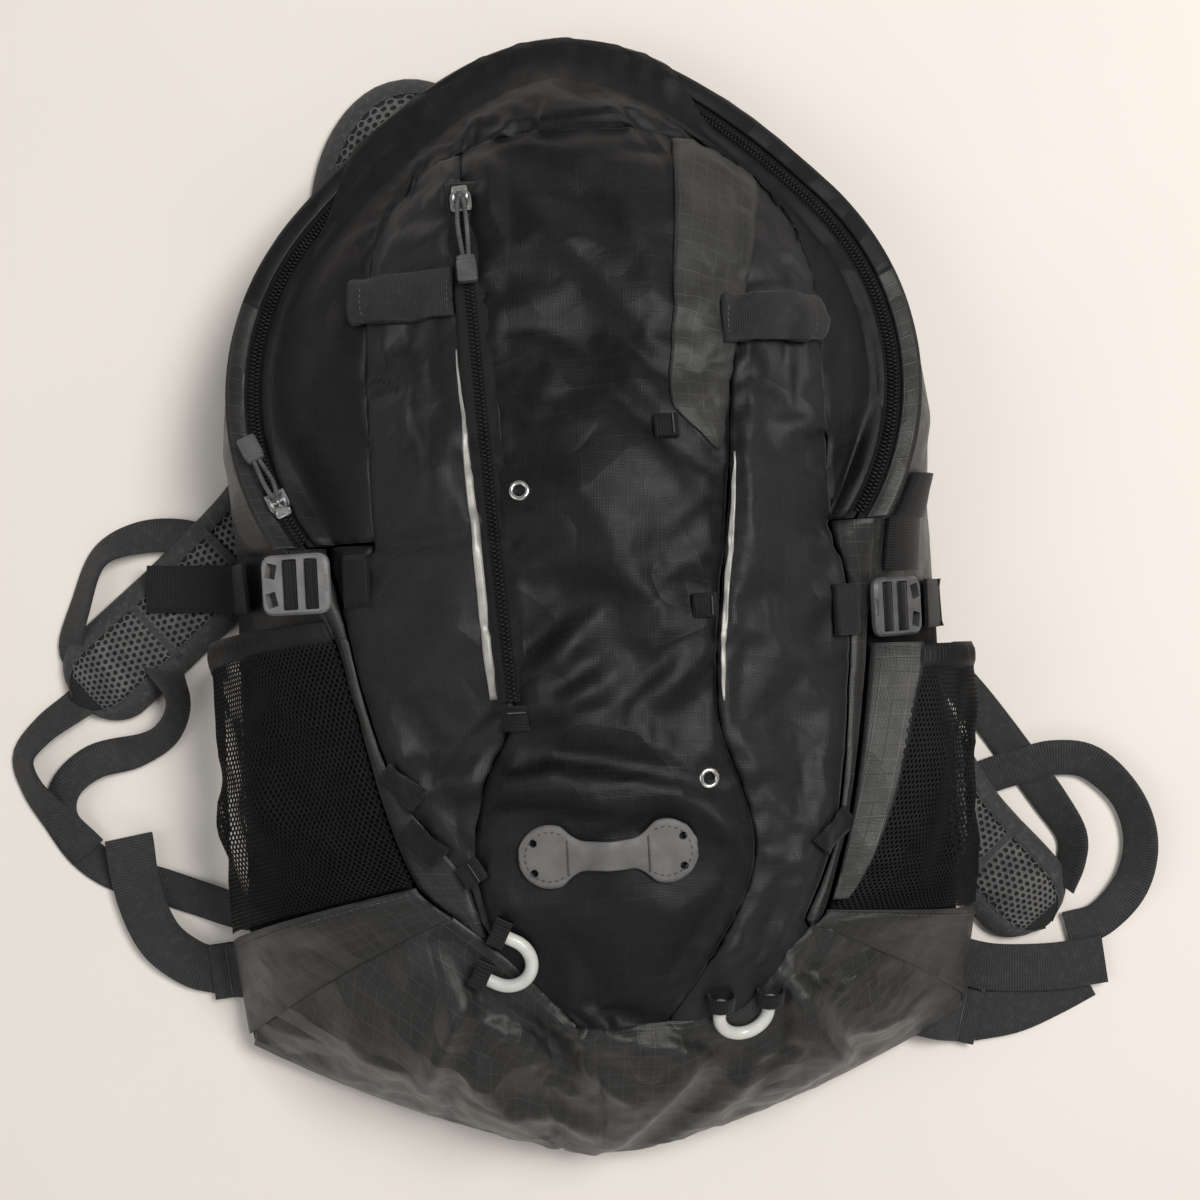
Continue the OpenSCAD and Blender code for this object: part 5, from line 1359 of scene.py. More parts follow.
# Folded loops of webbing: side view, then place, turn, body and node
loopSet = {"width": 9, "thick": 1.05, "lift": 0.4,
           "line": [(-6, 0.05), (-2, 0.05), (1.4, 0.1), (3.1, 0.9), (3.3, 1.9), (2.4, 2.9), (-1.5, 3.05),
                    (-6, 2.6)],
           "places": {"upper": (32, 62, 90, "flap", "gear_loop_upper"),
                      "side": (42.5, -4, 90, "pack", "gear_loops_lower"),
                      "zip": (-26.5, -43.5, 180, "pack"), "low": (-48, -100, 120, "pack")}}
for label, (x, y, turn, body, *nodes) in loopSet["places"].items():
    line = curveThrough([(0, along, high) for along, high in loopSet["line"]], 0.6)
    at = sitFrame(x, y, loopSet["lift"]) @ rotation("Z", turn)
    loop = ribbon("gear_loop_" + label, moved(line, at), turned(upsOf(line, (-1, 0, 0)), at),
                  loopSet["width"],
                  loopSet["thick"], blackWebbing)
    settle(loop, body, "black_webbing", *nodes)
    bar = moved([(q, -3.6, 3.75) for q in np.linspace(-3.6, 3.6, 9)], at)
    sewn("gear_loop_%s_bar" % label, bar, turned((0, 0, 1), at), 0.8, 1.6, 0.3, body, "black_webbing")

patchSet = {"x": 4, "y": -94, "length": 66.5, "round": 11.8, "neck": 10.4, "rise": 2.6, "thick": 1.8,
            "cols": 17,
            "hole": 1.5, "holeIn": 6, "holeOff": 5.5, "seamIn": 2.6}


def patchHalf(x):
    # half height of the rubber: round ends and a narrow neck
    r = patchSet["round"]
    c = patchSet["length"] / 2 - r
    away, e = np.abs(x) - c, c - 5
    outer = np.maximum(1.5, np.sqrt(np.clip(r ** 2 - away * away, 0, None)))
    inner = lerp(patchSet["neck"] / 2, math.sqrt(r ** 2 - 25), (np.abs(x) / e) ** 4)
    return np.where(np.abs(x) > e, outer, inner)


k = np.linspace(-1, 1, 56)
patchX = (patchSet["length"] / 2 - 0.3) * (0.45 * k + 0.55 * np.sin(k * np.pi / 2))
v, x = np.meshgrid(np.linspace(-1, 1, patchSet["cols"]), patchX)
patchRows = skin(patchSet["x"] + x, patchSet["y"] + v * patchHalf(x))
fromMid = np.minimum(1, np.abs(x) / (patchSet["length"] / 2 - 2 * patchSet["round"]))
patchRows[..., 2] += patchSet["rise"] * (1 - fromMid ** 2)
under = patchRows[..., 2].copy()
for k in range(10):
    patchRows[1:-1, 1:-1, 2] = neighbours(patchRows[..., 2])
patchRows[..., 2] = np.maximum(patchRows[..., 2], under) + 0.7 + patchSet["thick"]  # never below the cloth
patch = clothPiece("light_patch_rubber", patchRows, patchRubber, thick=patchSet["thick"], roll="lr",
                   depth=0.45, fine=0.0)
for a in (-1, 1):
    for b in (-1, 1):
        at = sitFrame(patchSet["x"] + a * (patchSet["length"] / 2 - patchSet["holeIn"]),
                      patchSet["y"] + b * patchSet["holeOff"], 0)
        bpy.ops.mesh.primitive_cylinder_add(vertices=24, radius=patchSet["hole"] * mm, depth=20 * mm)
        cutter = bpy.context.object
        cutter.data.transform(inMetres(at))
        cutBy(patch, cutter)
settle(patch, "pack", "patch_rubber", "light_patch")


def patchTop(x, v):
    # place on the upper face of the rubber
    share = (v + 1) / 2 * (patchSet["cols"] - 1)
    j = min(int(share), patchSet["cols"] - 2)
    return picked(lerp(patchRows[:, j], patchRows[:, j + 1], share - j), patchX, x)


for a, side in bothSides:
    c = a * (patchSet["length"] / 2 - patchSet["round"])
    r = patchSet["round"] - patchSet["seamIn"]
    ring = []
    for q in np.linspace(-2.2, 2.2, 40):
        x, y = c + a * r * math.cos(q), r * math.sin(q)
        ring.append(patchTop(x, float(np.clip(y / patchHalf(x), -1, 1))))
        ring[-1][1] = patchSet["y"] + y
    bar = [patchTop(c - a * 6.5, q) for q in np.linspace(-0.8, 0.8, 9)]
    for label, line, step, length, radius in (("seam", ring, 2.5, 1.7, 0.25), ("bar", bar, 1.5, 1.9, 0.34)):
        sewn("light_patch_%s_%s" % (label, side), np.array(line) + np.array([0, 0, 0.12]), (0, -0.19, 0.98),
             step, length, radius, "pack", "patch_rubber")

# White tube loops: place, turn and lift
tubeSet = {"ring": 9.9, "radius": 2.5, "end": 6.0, "footY": 6.6, "footWide": 4.83, "footHigh": 3.6,
           "places": {"left": (-36, -133, 62, 3.1), "right": (52, -160, 0, 2.7)}}
for side, (x, y, turn, lift) in tubeSet["places"].items():
    at = sitFrame(x, y, lift, False) @ rotation("Z", turn)
    r, end = tubeSet["ring"], tubeSet["end"]
    a = np.linspace(np.pi, 2 * np.pi, 30)
    bend = np.stack([r * np.cos(a), r * np.sin(a), 0 * a], 1)
    line = np.vstack([[(-r, end, 0), (-r, end / 2, 0)], bend, [(r, end / 2, 0), (r, end, 0)]])
    rings = ringsAlong(moved(line, at), tubeSet["radius"], 18, turned((0, 0, 1), at))
    settle(loft("tool_loop_%s_tube" % side, rings, tubeWhite), side + "_tool_loop", "tube_white",
           "tool_loop_" + side)
    q = np.linspace(-0.5, math.pi + 0.5, 16)
    ups = turned(np.stack([np.cos(q), 0 * q, np.sin(q)], 1), at)
    for k, label in ((-1, "a"), (1, "b")):  # webbing over each end of the tube
        wrap = [k * r + tubeSet["footWide"] * np.cos(q), tubeSet["footY"] + 0 * q,
                tubeSet["footHigh"] * np.sin(q) - 0.2]
        foot = ribbon("tool_loop_%s_foot_%s" % (side, label), moved(np.stack(wrap, 1), at), ups, 6.5, 0.8,
                      blackWebbing)
        settle(foot, "pack", "black_webbing")

print("stage: side pockets")


def netStart(s, v):
    # how far back the net begins on each side
    return 0.2 * (1 - np.clip(v, 0, 1)) ** 0.8 if s > 0 else 0.0 * v


netSet = {"cell": 2.0, "hole": 0.72, "thick": 0.4, "slack": 3.2, "dent": 2.4, "in": 0.8}


def netPoint(s, u, v):
    # the slack net hangs in soft waves between its seams
    u = lerp(netStart(s, v), 1, u)
    p = pocketPoint(s, u, v)
    calm = np.sin(np.pi * np.clip(u, 0, 1)) ** 0.7 * np.sin(np.pi * np.clip(v, 0, 1)) ** 0.6
    wave = np.sin(u * 19 + 3 * v + s) * np.sin(np.pi * v) * ease((u - 0.25) / 0.4)
    drape = netSet["slack"] * (wave + wobble(u * 80, v * 110, 22, 12 + s))
    drape -= netSet["dent"] * np.abs(wobble(u * 90 + v * 40, v * 110, 15, 30 + s))
    return p + outFrom(p) * ((drape - netSet["in"]) * calm)[..., None]


def hexNet(name, place, width, length, cell, hole, thick, mat, away=outFrom):
    # net of six-sided holes laid on a surface given in mm
    dx, dy = cell, cell * math.sqrt(3) / 2
    turns = [k * math.pi / 3 for k in range(6)]
    corner = np.array([(math.sin(a), math.cos(a)) for a in turns]) * cell / math.sqrt(3)
    middle = [((i + 0.5 + 0.5 * (j % 2)) * dx, j * dy) for j in range(1, int(length / dy))
              for i in range(int(width / dx)) if (i + 1.1 + 0.5 * (j % 2)) * dx <= width]
    middle = np.array(middle)[:, None]
    outer, inner = middle + corner, middle + corner * hole
    key = np.round(outer.reshape(-1, 2) / (cell * 0.05)).astype(int)
    shared, back = np.unique(key, axis=0, return_inverse=True)
    back = back.reshape(-1, 6)
    first = np.zeros((len(shared), 2))
    first[back.ravel()] = outer.reshape(-1, 2)
    flat = np.concatenate([first, inner.reshape(-1, 2)])
    face = place(np.clip(flat[:, 0] / width, 0, 1), np.clip(flat[:, 1] / length, 0, 1))
    under = face - away(face) * thick
    count, faces = len(flat), []
    for c in range(len(middle)):
        for k in range(6):
            a, b = int(back[c, k]), int(back[c, (k + 1) % 6])
            d, e = len(first) + c * 6 + k, len(first) + c * 6 + (k + 1) % 6
            faces += [[a, b, e, d], [d + count, e + count, b + count, a + count],
                      [d, e, e + count, d + count]]
    return piece(name, np.concatenate([face, under]), faces, mat)


for s, side in bothSides:
    share = np.linspace(0, 1, 40)
    across, down = (float(runOf(pocketPoint(s, u, v))[-1]) for u, v in ((share, 0.5), (0.5, share)))
    net = hexNet("mesh_pocket_%s_net" % side, lambda u, v: netPoint(s, u, v), across, down, netSet["cell"],
                 netSet["hole"], netSet["thick"], netYarn)
    settle(consistent(net, 70), "pack", "black_net", "mesh_pocket_" + side)
    u, v = np.meshgrid(np.linspace(0, 1, 110), np.linspace(-0.092, 0.02, 9))
    rows = pocketPoint(s, lerp(netStart(s, 0 * v), 1, u), v)
    gather = 0.35 * np.sin(u * across * 2.1) * np.sin(np.pi * (v + 0.092) / 0.092)
    rows += outFrom(rows) * (0.7 + gather)[..., None]
    hem = clothPiece("pocket_hem_%s_cloth" % side, np.swapaxes(rows, 0, 1), hemCloth, thick=2.2, roll="lr",
                     depth=0.8, fine=0.1, inside=(0, -20, 30))
    settle(hem, "pack", "black_nylon", "pocket_hem_" + side)
    u, v = np.meshgrid(np.linspace(0, 1, 56), np.linspace(1.006, 1.4, 26))
    rows = pocketPoint(s, u, v)
    slack = 1.3 * wobble(u * 90, v * 130, 19, 20 + s) + 0.6 * wobble(u * 90, v * 130, 8, 21)
    slack *= np.sin(np.pi * u) * np.sin(np.pi * np.clip((v - 1.0) / 0.4, 0, 1))
    rows += outFrom(rows) * slack[..., None]
    cup = clothPiece("pocket_cup_%s_cloth" % side, rows, greyRipstop, inside=(0, -140, 20), roll="b",
                     depth=0.5)
    settle(cup, "pack", "grey_ripstop", "pocket_cup_" + side)
    line = pocketPoint(s, np.linspace(0.02, 0.98, 60), 1.045)
    sewn("pocket_cup_%s_seam" % side, line + outFrom(line) * 0.35, outFrom(line), 3.0, 2.0, 0.24, "pack",
         "grey_ripstop")
u, v = np.meshgrid(np.linspace(0, 1, 12), np.linspace(-0.1, 0.9, 60))
rows = pocketPoint(1, u * (netStart(1, v) + 0.015), v)  # the grey wing goes on over the right pocket
skirt = clothPiece("wing_right_skirt", rows + outFrom(rows) * 0.8, greyRipstop, thick=0.8, roll="r",
                   depth=0.4,
                   fine=0.15, inside=(0, -60, 30))
settle(skirt, "pack", "grey_ripstop")

# Short tapes sewn across the wing edges: place and turn
tapeSet = {"length": 17, "width": 9, "thick": 1.2, "lift": 2.6,
           "places": {"left_a": (-71, -66, -38), "left_b": (-64, -88, -40), "right_a": (90, -93, 215)}}
for label, (x, y, turn) in tapeSet["places"].items():
    along = np.linspace(-0.5, 0.5, 14)[:, None] * tapeSet["length"]
    over = np.linspace(-0.5, 0.5, 6)[None, :] * tapeSet["width"]
    c, q = math.cos(math.radians(turn)), math.sin(math.radians(turn))
    px, py = x + along * c - over * q, y + along * q + over * c
    rows = skin(px, py) + skinNormal(px, py) * tapeSet["lift"]
    tape = clothPiece("wing_tape_" + label, rows, blackWebbing, thick=tapeSet["thick"], roll="lr",
                      depth=0.15, fine=0.08)
    settle(tape, "pack", "black_webbing")

print("stage: compression straps and buckles")
strapSet = {"y": {-1: 12, 1: -9}, "half": 10, "thick": 1.5}


def strapPoint(s, x, y):
    # on the front up to the wing's edge, and over the side beyond it
    x, y = np.broadcast_arrays(np.asarray(x, float), np.asarray(y, float))
    edge, back = wingPoint(s, y), backSeam(s, y)
    e = edge[..., 0]
    u = np.clip((x - e) / (back[..., 0] - e), 0, 1)[..., None]
    front = np.stack([x, y, baseFront(x, y)], -1)
    return np.where((s * x <= s * e)[..., None], front, bowed(edge, back, push(s, sideSet["bow"]), u))


# side, first and last x, lift at both ends, rows and nodes of each run of strap
strapRuns = {
    "left_inner": (-1, -80, -90.5, 0.6, 0.6, 8, "compression_straps"),
    "left_outer": (-1, -124, -150, 7, 0.9, 20),
    "right_inner": (1, 95, 105.5, 0.8, 0.8, 8), "right_outer": (1, 132.5, 152, 2.5, 0.9, 16)}
for label, (s, first, last, lift, lastLift, count, *nodes) in strapRuns.items():
    t, v = np.linspace(0, 1, count)[:, None], np.linspace(-1, 1, 7)[None, :]
    p = strapPoint(s, lerp(first, last, t) + 0 * v, strapSet["y"][s] + strapSet["half"] * v + 0 * t)
    p += outFrom(p) * (lerp(lastLift, lift, (1 - t) ** 2) + strapSet["thick"])[..., None]
    run = clothPiece("strap_" + label, p, blackWebbing, thick=strapSet["thick"], fine=0.05, roll="lr",
                     depth=0.15,
                     inside=(0, 0, 20))
    settle(run, "pack", "black_webbing", *nodes)
tailPath = curveThrough([(-145, 12.4, 18.4), (-150, 12.8, 15.6), (-157, 13.2, 13.9), (-168, 13.6, 13.2),
                         (-185, 14.6, 13.0)], 2.0)
tail = ribbon("strap_left_tail", tailPath, (0.25, 0, 0.97), 2 * strapSet["half"], strapSet["thick"],
              blackWebbing)
settle(consistent(tail), "pack", "black_webbing")


def block(x0, y0, z0, x1, y1, z1, bevel):
    # bevelled cutter
    bpy.ops.mesh.primitive_cube_add(size=1, location=[(a + b) / 2 * mm for a,
                                                      b in ((x0, x1), (y0, y1), (z0, z1))])
    obj = bpy.context.object
    obj.scale = ((x1 - x0) * mm, (y1 - y0) * mm, (z1 - z0) * mm)
    bpy.ops.object.transform_apply(location=True, rotation=False, scale=True)
    rounded = obj.modifiers.new("bevel", "BEVEL")
    rounded.width, rounded.segments = bevel * mm, 3
    bpy.ops.object.modifier_apply(modifier="bevel")
    return obj


buckleSet = {"length": 29, "width": 23.4, "thick": 4, "reach": 0.55, "rim": 1.9, "webbing": 18.6,
             "windows": ((2, 8), (11, 17.5)), "rolls": {"a": (2.3, 7.7), "b": (11.3, 17.2)},
             "root": {-1: -93.5, 1: 108.5},
             "origin": {-1: (-98.3011, 12, 84.6102), 1: (112.703, -9, 68.9434)},
             "look": {-1: (buckleLight, "buckle_light"), 1: (buckleDark, "buckle_dark")}}
for s, side in bothSides:
    w, y, root = buckleSet["width"], strapSet["y"][s], buckleSet["root"][s]
    mat, slot = buckleSet["look"][s]
    a, b = strapPoint(s, [root, root + s * buckleSet["length"] * buckleSet["reach"]], y)
    turn = math.degrees(math.atan2(a[2] - b[2], abs(b[0] - a[0]))) * s
    at = (shifted(*buckleSet["origin"][s]) @ rotation("Y", turn) @ Matrix.Diagonal((s, 1, 1, 1))
          @ shifted(0, -w / 2, 0))
    shell = [roundBox(-2, 0, 0, 27, w, buckleSet["thick"], 4.2)]
    body = gathered("buckle_%s_frame" % side, shell, Matrix.Identity(4), mat, 35)
    for first, last in buckleSet["windows"]:
        cutBy(body, block(first, buckleSet["rim"], -2, last, w - buckleSet["rim"], 6, 0.5))
    for k in (-1, 1):  # two slanted windows at the outer end
        slant = block(-2.3, -2.9, -4, 2.3, 2.9, 4, 0.3)
        slant.data.transform(inMetres(shifted(22.4, w / 2 + k * 5.6, 2)) @ rotation("Z", k * 14))
        cutBy(body, slant)
    cutBy(body, block(-4, w / 2 - 3.2, 2.9, -0.9, w / 2 + 3.2, 6, 0.4))
    body.data.transform(inMetres(at))
    settle(consistent(body, 35), side + "_buckle", slot, "compression_buckle_" + side)
    for label, (x0, x1) in buckleSet["rolls"].items():  # webbing rolled through each window
        over = [(x0, -0.6), (x0 + 0.05, 2.2), (x0 + 0.7, 4.2), ((x0 + x1) / 2, 5.1), (x1 - 0.7, 4.2),
                (x1 - 0.05, 2.2),
                (x1, -0.6)]
        over = curveThrough([(x, w / 2, z) for x, z in over], 0.4)
        web = ribbon("buckle_%s_webbing_%s" % (side, label), moved(over, at),
                     turned(upsOf(over, (0, -1, 0)), at),
                     buckleSet["webbing"], 0.8, blackWebbing)
        settle(consistent(web, 50), side + "_buckle", "black_webbing")

# Tail of webbing stowed behind the right buckle
v, y = np.meshgrid(np.linspace(0.07, 0.5, 8), np.linspace(5, 43, 42))
y = y[:, :1]
edge = np.stack([zipReach(inPlane(y), bag["hem"]), y, planeZ(y)], -1)
edge = np.where((y < bag["foldY"])[..., None], wingPoint(1, y), edge)
rows = bowed(edge, backSeam(1, y), push(1, sideSet["bow"]), v[..., None])
rows += outFrom(rows) * (2.6 + 2.4 * np.sin(np.pi * (v[..., None] - 0.07) / 0.43))
tail = clothPiece("stowed_tail_webbing", rows, blackWebbing, thick=strapSet["thick"], roll="lr", depth=0.2,
                  fine=0.08,
                  inside=(0, 20, 20))
settle(tail, "pack", "black_webbing", "stowed_tail")

# Corner tabs: place and turn, then the side view of both layers of webbing
cornerSet = {"left": (-162, -150, 185), "right": (152, -186, -15), "width": 23, "thick": 1.3,
             "layers": {"a": [(-20, 10.3), (-11, 10.3), (-2, 4.7), (2, 4.6), (6, 4.6)],
                        "b": [(6, 0.5), (0, 0.5), (-4, 0.7), (-9, 4.8), (-13, 8.6)]}}
for s, side in bothSides:
    x, y, turn = cornerSet[side]
    at = shifted(x, y, 0) @ rotation("Z", turn)
    for label, line in cornerSet["layers"].items():
        line = curveThrough([(along, 0, high) for along, high in line], 1.0)
        tab = ribbon("corner_tab_%s_%s" % (side, label), moved(line, at), (0, 0, 1), cornerSet["width"],
                     cornerSet["thick"], greyWebbing)
        nodes = ["corner_tabs"] if (side, label) == ("left", "a") else []
        settle(consistent(tab, 50), "pack", "grey_webbing", *nodes)
    bar = moved([(-1.5, q, 6.05) for q in np.linspace(-10, 10, 21)], at)
    sewn("corner_tab_%s_bar" % side, bar, (0, 0, 1), 1.1, 1.8, 0.3, "pack", "grey_webbing")

print("stage: shoulder pads")
padCloth = {"quality": 5, "mass": 0.2, "air_damping": 3.0, "tension_stiffness": 10,
            "compression_stiffness": 10,
            "shear_stiffness": 5, "bending_stiffness": 0.5, "pin_stiffness": 1.0, "use_pressure": True}


def puffed(name, points, faces, hold, pressure, most):
    # the padding pushes the cover out a little; hold is 1 where it is sewn down
    start = np.asarray(points, float).reshape(-1, 3)
    settings = {**padCloth, "uniform_pressure_force": pressure}
    move = capped(simulated(name, start, faces, np.ravel(hold), settings, 18) - start, most)
    print(name, "swelled", round(float(np.linalg.norm(move, axis=1).max()), 2), "mm most")
    return start + move


padSet = {"width": 42, "thick": 11.2, "low": 0.4, "tip": 18.8, "bind": 7.5, "cols": 17,
          "seams": {-1: (46, 92), 1: (40,)},
          "left": [(-42, 205), (-66, 206), (-82, 190), (-92, 155), (-110, 100), (-128, 52), (-160, 18),
                   (-205, -20)],
          "right": [(40, 198), (63, 183), (87, 148), (107, 85), (118, 20), (130, -50), (150, -98),
                    (178, -134)]}
knitSet = {"cell": 3.1, "hole": 0.6, "thick": 0.8, "lift": 0.75, "start": 0.02, "end": 6.0}
padShape = lineOf([[-1, 0.3], [-0.93, 0.55], [-0.82, 0.74], [-0.62, 0.885], [-0.35, 0.96], [0, 1],
                   [0.35, 0.96],
                   [0.62, 0.885], [0.82, 0.74], [0.93, 0.55], [1, 0.3]])


def padTop(rows, u, q, lift=0.0):
    # place over the pad's upper face, u across and q along it
    place = between(rows, np.asarray(u, float) * (padSet["cols"] - 1), np.asarray(q, float) * (len(rows) - 1))
    return place + np.array([0, 0, lift])


for s, side in bothSides:
    body, low, cols = side + "_strap", padSet["low"], padSet["cols"]
    line = curveThrough(padSet[side], 3.0)
    ahead = unit(np.gradient(line, axis=0))
    line = np.vstack([line, line[-1] + ahead[-1] * np.linspace(0, padSet["tip"], 9)[1:, None]])
    ahead = unit(np.gradient(line, axis=0))
    out = np.stack([ahead[:, 1], -ahead[:, 0]], 1)
    run = runOf(line)
    left = run[-1] - run
    nearTip = np.clip((padSet["tip"] - left) / padSet["tip"], 0, 1)
    reach = padSet["width"] / 2 * (0.72 + 0.28 * ease(run / 30)) * np.sqrt(1 - 0.985 * nearTip ** 2)
    tall = padSet["thick"] * (0.8 + 0.2 * ease(run / 25)) * (0.62 + 0.38 * ease(left / 10))
    across = np.linspace(-1, 1, cols)
    v = np.concatenate([across, [0.86, 0.4, 0.0, -0.4, -0.86]])  # the upper face and then the underside
    share = np.concatenate([padShape(across), np.zeros(5)])
    channel = 1 - sum(0.26 * np.exp(-((left - q) / 2.6) ** 2) for q in padSet["seams"][s])
    aside = reach[:, None] * v
    xy = line[:, None] + out[:, None] * aside[..., None]
    rings = np.concatenate([xy, (low + tall[:, None] * share * 0.9)[..., None]], -1)
    n, k = rings.shape[:2]
    faces = tubeFaces(n, k)
    hold = np.full((n, k), 0.03)
    hold[:, cols:] = 1.0
    hold[:2], hold[-2:] = 1.0, 1.0
    swollen = puffed("shoulder_pad_%s_cover" % side, rings, faces, hold, 4.0, 2.2).reshape(n, k, 3)
    rise = (swollen[..., 2] - low) * np.where(np.arange(k) < cols, channel[:, None], 1)
    swollen[..., 2] = low + np.clip(rise, 0, padSet["thick"])
    uv = np.stack(np.broadcast_arrays(aside, run[:, None]), -1).reshape(-1, 2)
    pad = piece("shoulder_strap_%s_pad" % side, swollen, faces, meshFoam, uv)
    settle(consistent(pad, 60), body, "spacer_mesh", "shoulder_strap_" + side)
    face = swollen[:, :cols]
    keep, start, end = padSet["bind"] / padSet["width"], knitSet["start"], 1 - knitSet["end"] / run[-1]
    knit = hexNet("shoulder_strap_%s_mesh" % side,
                  lambda a, b: padTop(face, lerp(keep, 1 - keep, a), lerp(start, end, b), knitSet["lift"]),
                  padSet["width"] - 2 * padSet["bind"], run[-1] * (end - start), knitSet["cell"],
                  knitSet["hole"],
                  knitSet["thick"], meshKnit, lambda p: np.array([0, 0, 1.0]))
    settle(consistent(knit, 60), body, "spacer_mesh")
    # binding round both edges and the tip: share of the width and lift of each row
    marks = [(0.02, 0.0), (0.0, 0.35), (0.03, 0.75), (0.1, 0.9), (keep + 0.01, 0.75), (keep + 0.02, 0.1)]
    along = np.linspace(0, 1, n)
    for edge, label in ((-1, "in"), (1, "out")):
        inward = lambda share: np.full(n, share if edge < 0 else 1 - share)
        rows = []
        for share, lift in marks:
            rows.append(padTop(face, inward(share), along, lift))
            rows[-1][:, :2] += out * edge * (0.75 if share < 0.05 else 0.2)
        rows[0][:, 2] = low + 0.4
        bind = clothPiece("shoulder_strap_%s_binding_%s" % (side, label), np.stack(rows, 1), bindTwill,
                          thick=0.7,
                          fine=0.12, facing=(0, 0, 1))
        settle(bind, body, "grey_webbing")
        seam = padTop(face, inward(keep + 0.005), along, 1.0)
        sewn("shoulder_strap_%s_seam_%s" % (side, label), seam[:-2], (0, 0, 1), 3.0, 2.0, 0.26, body,
             "grey_webbing")
    for label, q in zip("ab", padSet["seams"][s]):
        at = int(np.argmin(np.abs(left - q)))
        cross = padTop(face, np.linspace(0.12, 0.88, 12), np.full(12, at / (n - 1)), 1.0)
        bar = ribbon("shoulder_strap_%s_bar_%s" % (side, label), cross, (0, 0, 1), 4.0, 0.6, bindTwill)
        settle(bar, body, "grey_webbing")

print("stage: webbing on the floor")
webSet = {"narrow": 15, "wide": 20, "thick": 1.5, "low": 0.4, "layer": 2.0}
routes = {
    "left_a": [(-156, 31, 1.5), (-172, 36.5, 0.5), (-190, 36.5, 0), (-206, 29, 0), (-215, 9, 0),
               (-220, -8, 0.4),
               (-214, -18, 1.2)],
    "left_b": [(-208, -25, 1), (-221, -34, 0.2), (-234, -43, 0), (-243, -54, 0), (-240, -67, 0),
               (-231, -81, 0),
               (-221, -96, 0), (-208, -106, 0), (-190, -112, 0), (-172, -119, 0.4), (-156, -124, 3),
               (-143, -126, 4.8)],
    "left_c": [(-183, -16, 2), (-176, -33, 1), (-182, -47, 1), (-197, -54, 1), (-214, -58, 1), (-226, -68, 1),
               (-228, -82, 1), (-218, -96, 1)],
    "right_e": [(152, -36, 0), (166, -54, 0), (181, -76, 0), (194, -96, 0), (202, -111, 0), (201, -123, 0),
                (196, -132, 0)],
    "right_f": [(152, -90, 2), (169.5, -84, 1), (182, -81, 1), (196, -78, 1), (212, -81, 1), (226, -96, 1),
                (231, -115, 1), (226, -134, 1), (213, -148, 1), (198, -152, 1)],
    "waist_d": [(-200, -90, 2), (-198, -113, 2), (-190, -134, 2), (-177, -146, 1.3), (-165, -150, 1)],
    "waist_g": [(150, -162, 2), (166, -166, 2), (190, -167, 2), (213, -165, 2)],
    "waist_h": [(205, -172, 0), (190, -179, 0.2), (173, -185, 1), (155, -187.5, 1)]}
# Where the webbing stands up on one edge: share of its length, lean in degrees
leans = {
    "left_a": [(0, 0), (0.3, 20), (0.55, 48), (0.8, 40), (1, 10)],
    "left_b": [(0, 0), (0.12, 28), (0.3, 42), (0.42, 20), (0.6, 0), (1, 0)],
    "left_c": [(0, -20), (0.15, -62), (0.35, -40), (0.5, 0), (0.75, 18), (1, 0)],
    "right_e": [(0, 0), (0.5, 0), (0.75, 35), (0.92, 55), (1, 40)],
    "right_f": [(0, 0), (0.35, 8), (0.55, 38), (0.72, 30), (0.9, 0), (1, 0)],
    "waist_d": [(0, -20), (0.3, 0), (0.7, 0), (1, 0)]}


def floorWeb(key, width):
    path = curveThrough(routes[key], 2.5)
    path[:, 2] = webSet["low"] + webSet["layer"] * path[:, 2]
    lean = lineOf(leans.get(key, [(0, 0), (0.5, 0), (1, 0)]))(np.linspace(0, 1, len(path)))
    lean = np.radians(lean)[:, None]
    side, up = acrossOf(path, (0, 0, 1))
    path[:, 2:] += np.abs(np.sin(lean)) * width / 2
    up = up * np.cos(lean) + side * np.sin(lean)
    return consistent(ribbon("webbing_" + key, path, up, width, webSet["thick"], greyWebbing), 50)


for key, strap, *nodes in (("left_b", "left_strap", "lower_webbing_left"), ("left_c", "left_strap"),
                           ("right_e", "right_strap", "lower_webbing_right"), ("right_f", "right_strap")):
    web = floorWeb(key, webSet["narrow"])
    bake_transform(web)
    named(nodes)
settle(floorWeb("left_a", webSet["narrow"]), "left_strap", "grey_webbing")
for key, *nodes in (("waist_d", "waist_straps"), ("waist_g",), ("waist_h",)):
    settle(floorWeb(key, webSet["wide"]), "pack", "grey_webbing", *nodes)
haul = curveThrough([(-24, 216, 10.2), (-23, 200, 3), (-14, 182, 1), (0, 177, 1), (14, 182, 1), (23, 200, 3),
                     (24, 216, 10.2)], 1.5)
haul = ribbon("haul_loop_webbing", haul, (0, 0, 1), 10, webSet["thick"], greyWebbing)
settle(consistent(haul, 50), "haul", "grey_webbing", "haul_loop")

print("stage: back and water system")
portSet = {"y": 190, "hole": 9.3, "sides": 40}
y, u = np.linspace(-230.5, 229, 130)[:, None], np.linspace(-1, 1, 61)[None, :]
flat = np.stack(np.broadcast_arrays(u * half(y), y, 12.0), -1)
backCloth = clothPiece("back_panel_cloth", flat, hemCloth, thick=1.7, fine=0.12, facing=(0, 0, -1))
bpy.ops.mesh.primitive_cylinder_add(vertices=portSet["sides"], radius=portSet["hole"] * mm, depth=0.05,
                                    location=(0, portSet["y"] * mm, 0.013))
cutBy(backCloth, bpy.context.object)
settle(backCloth, "pack", "back_foam", "back_panel")

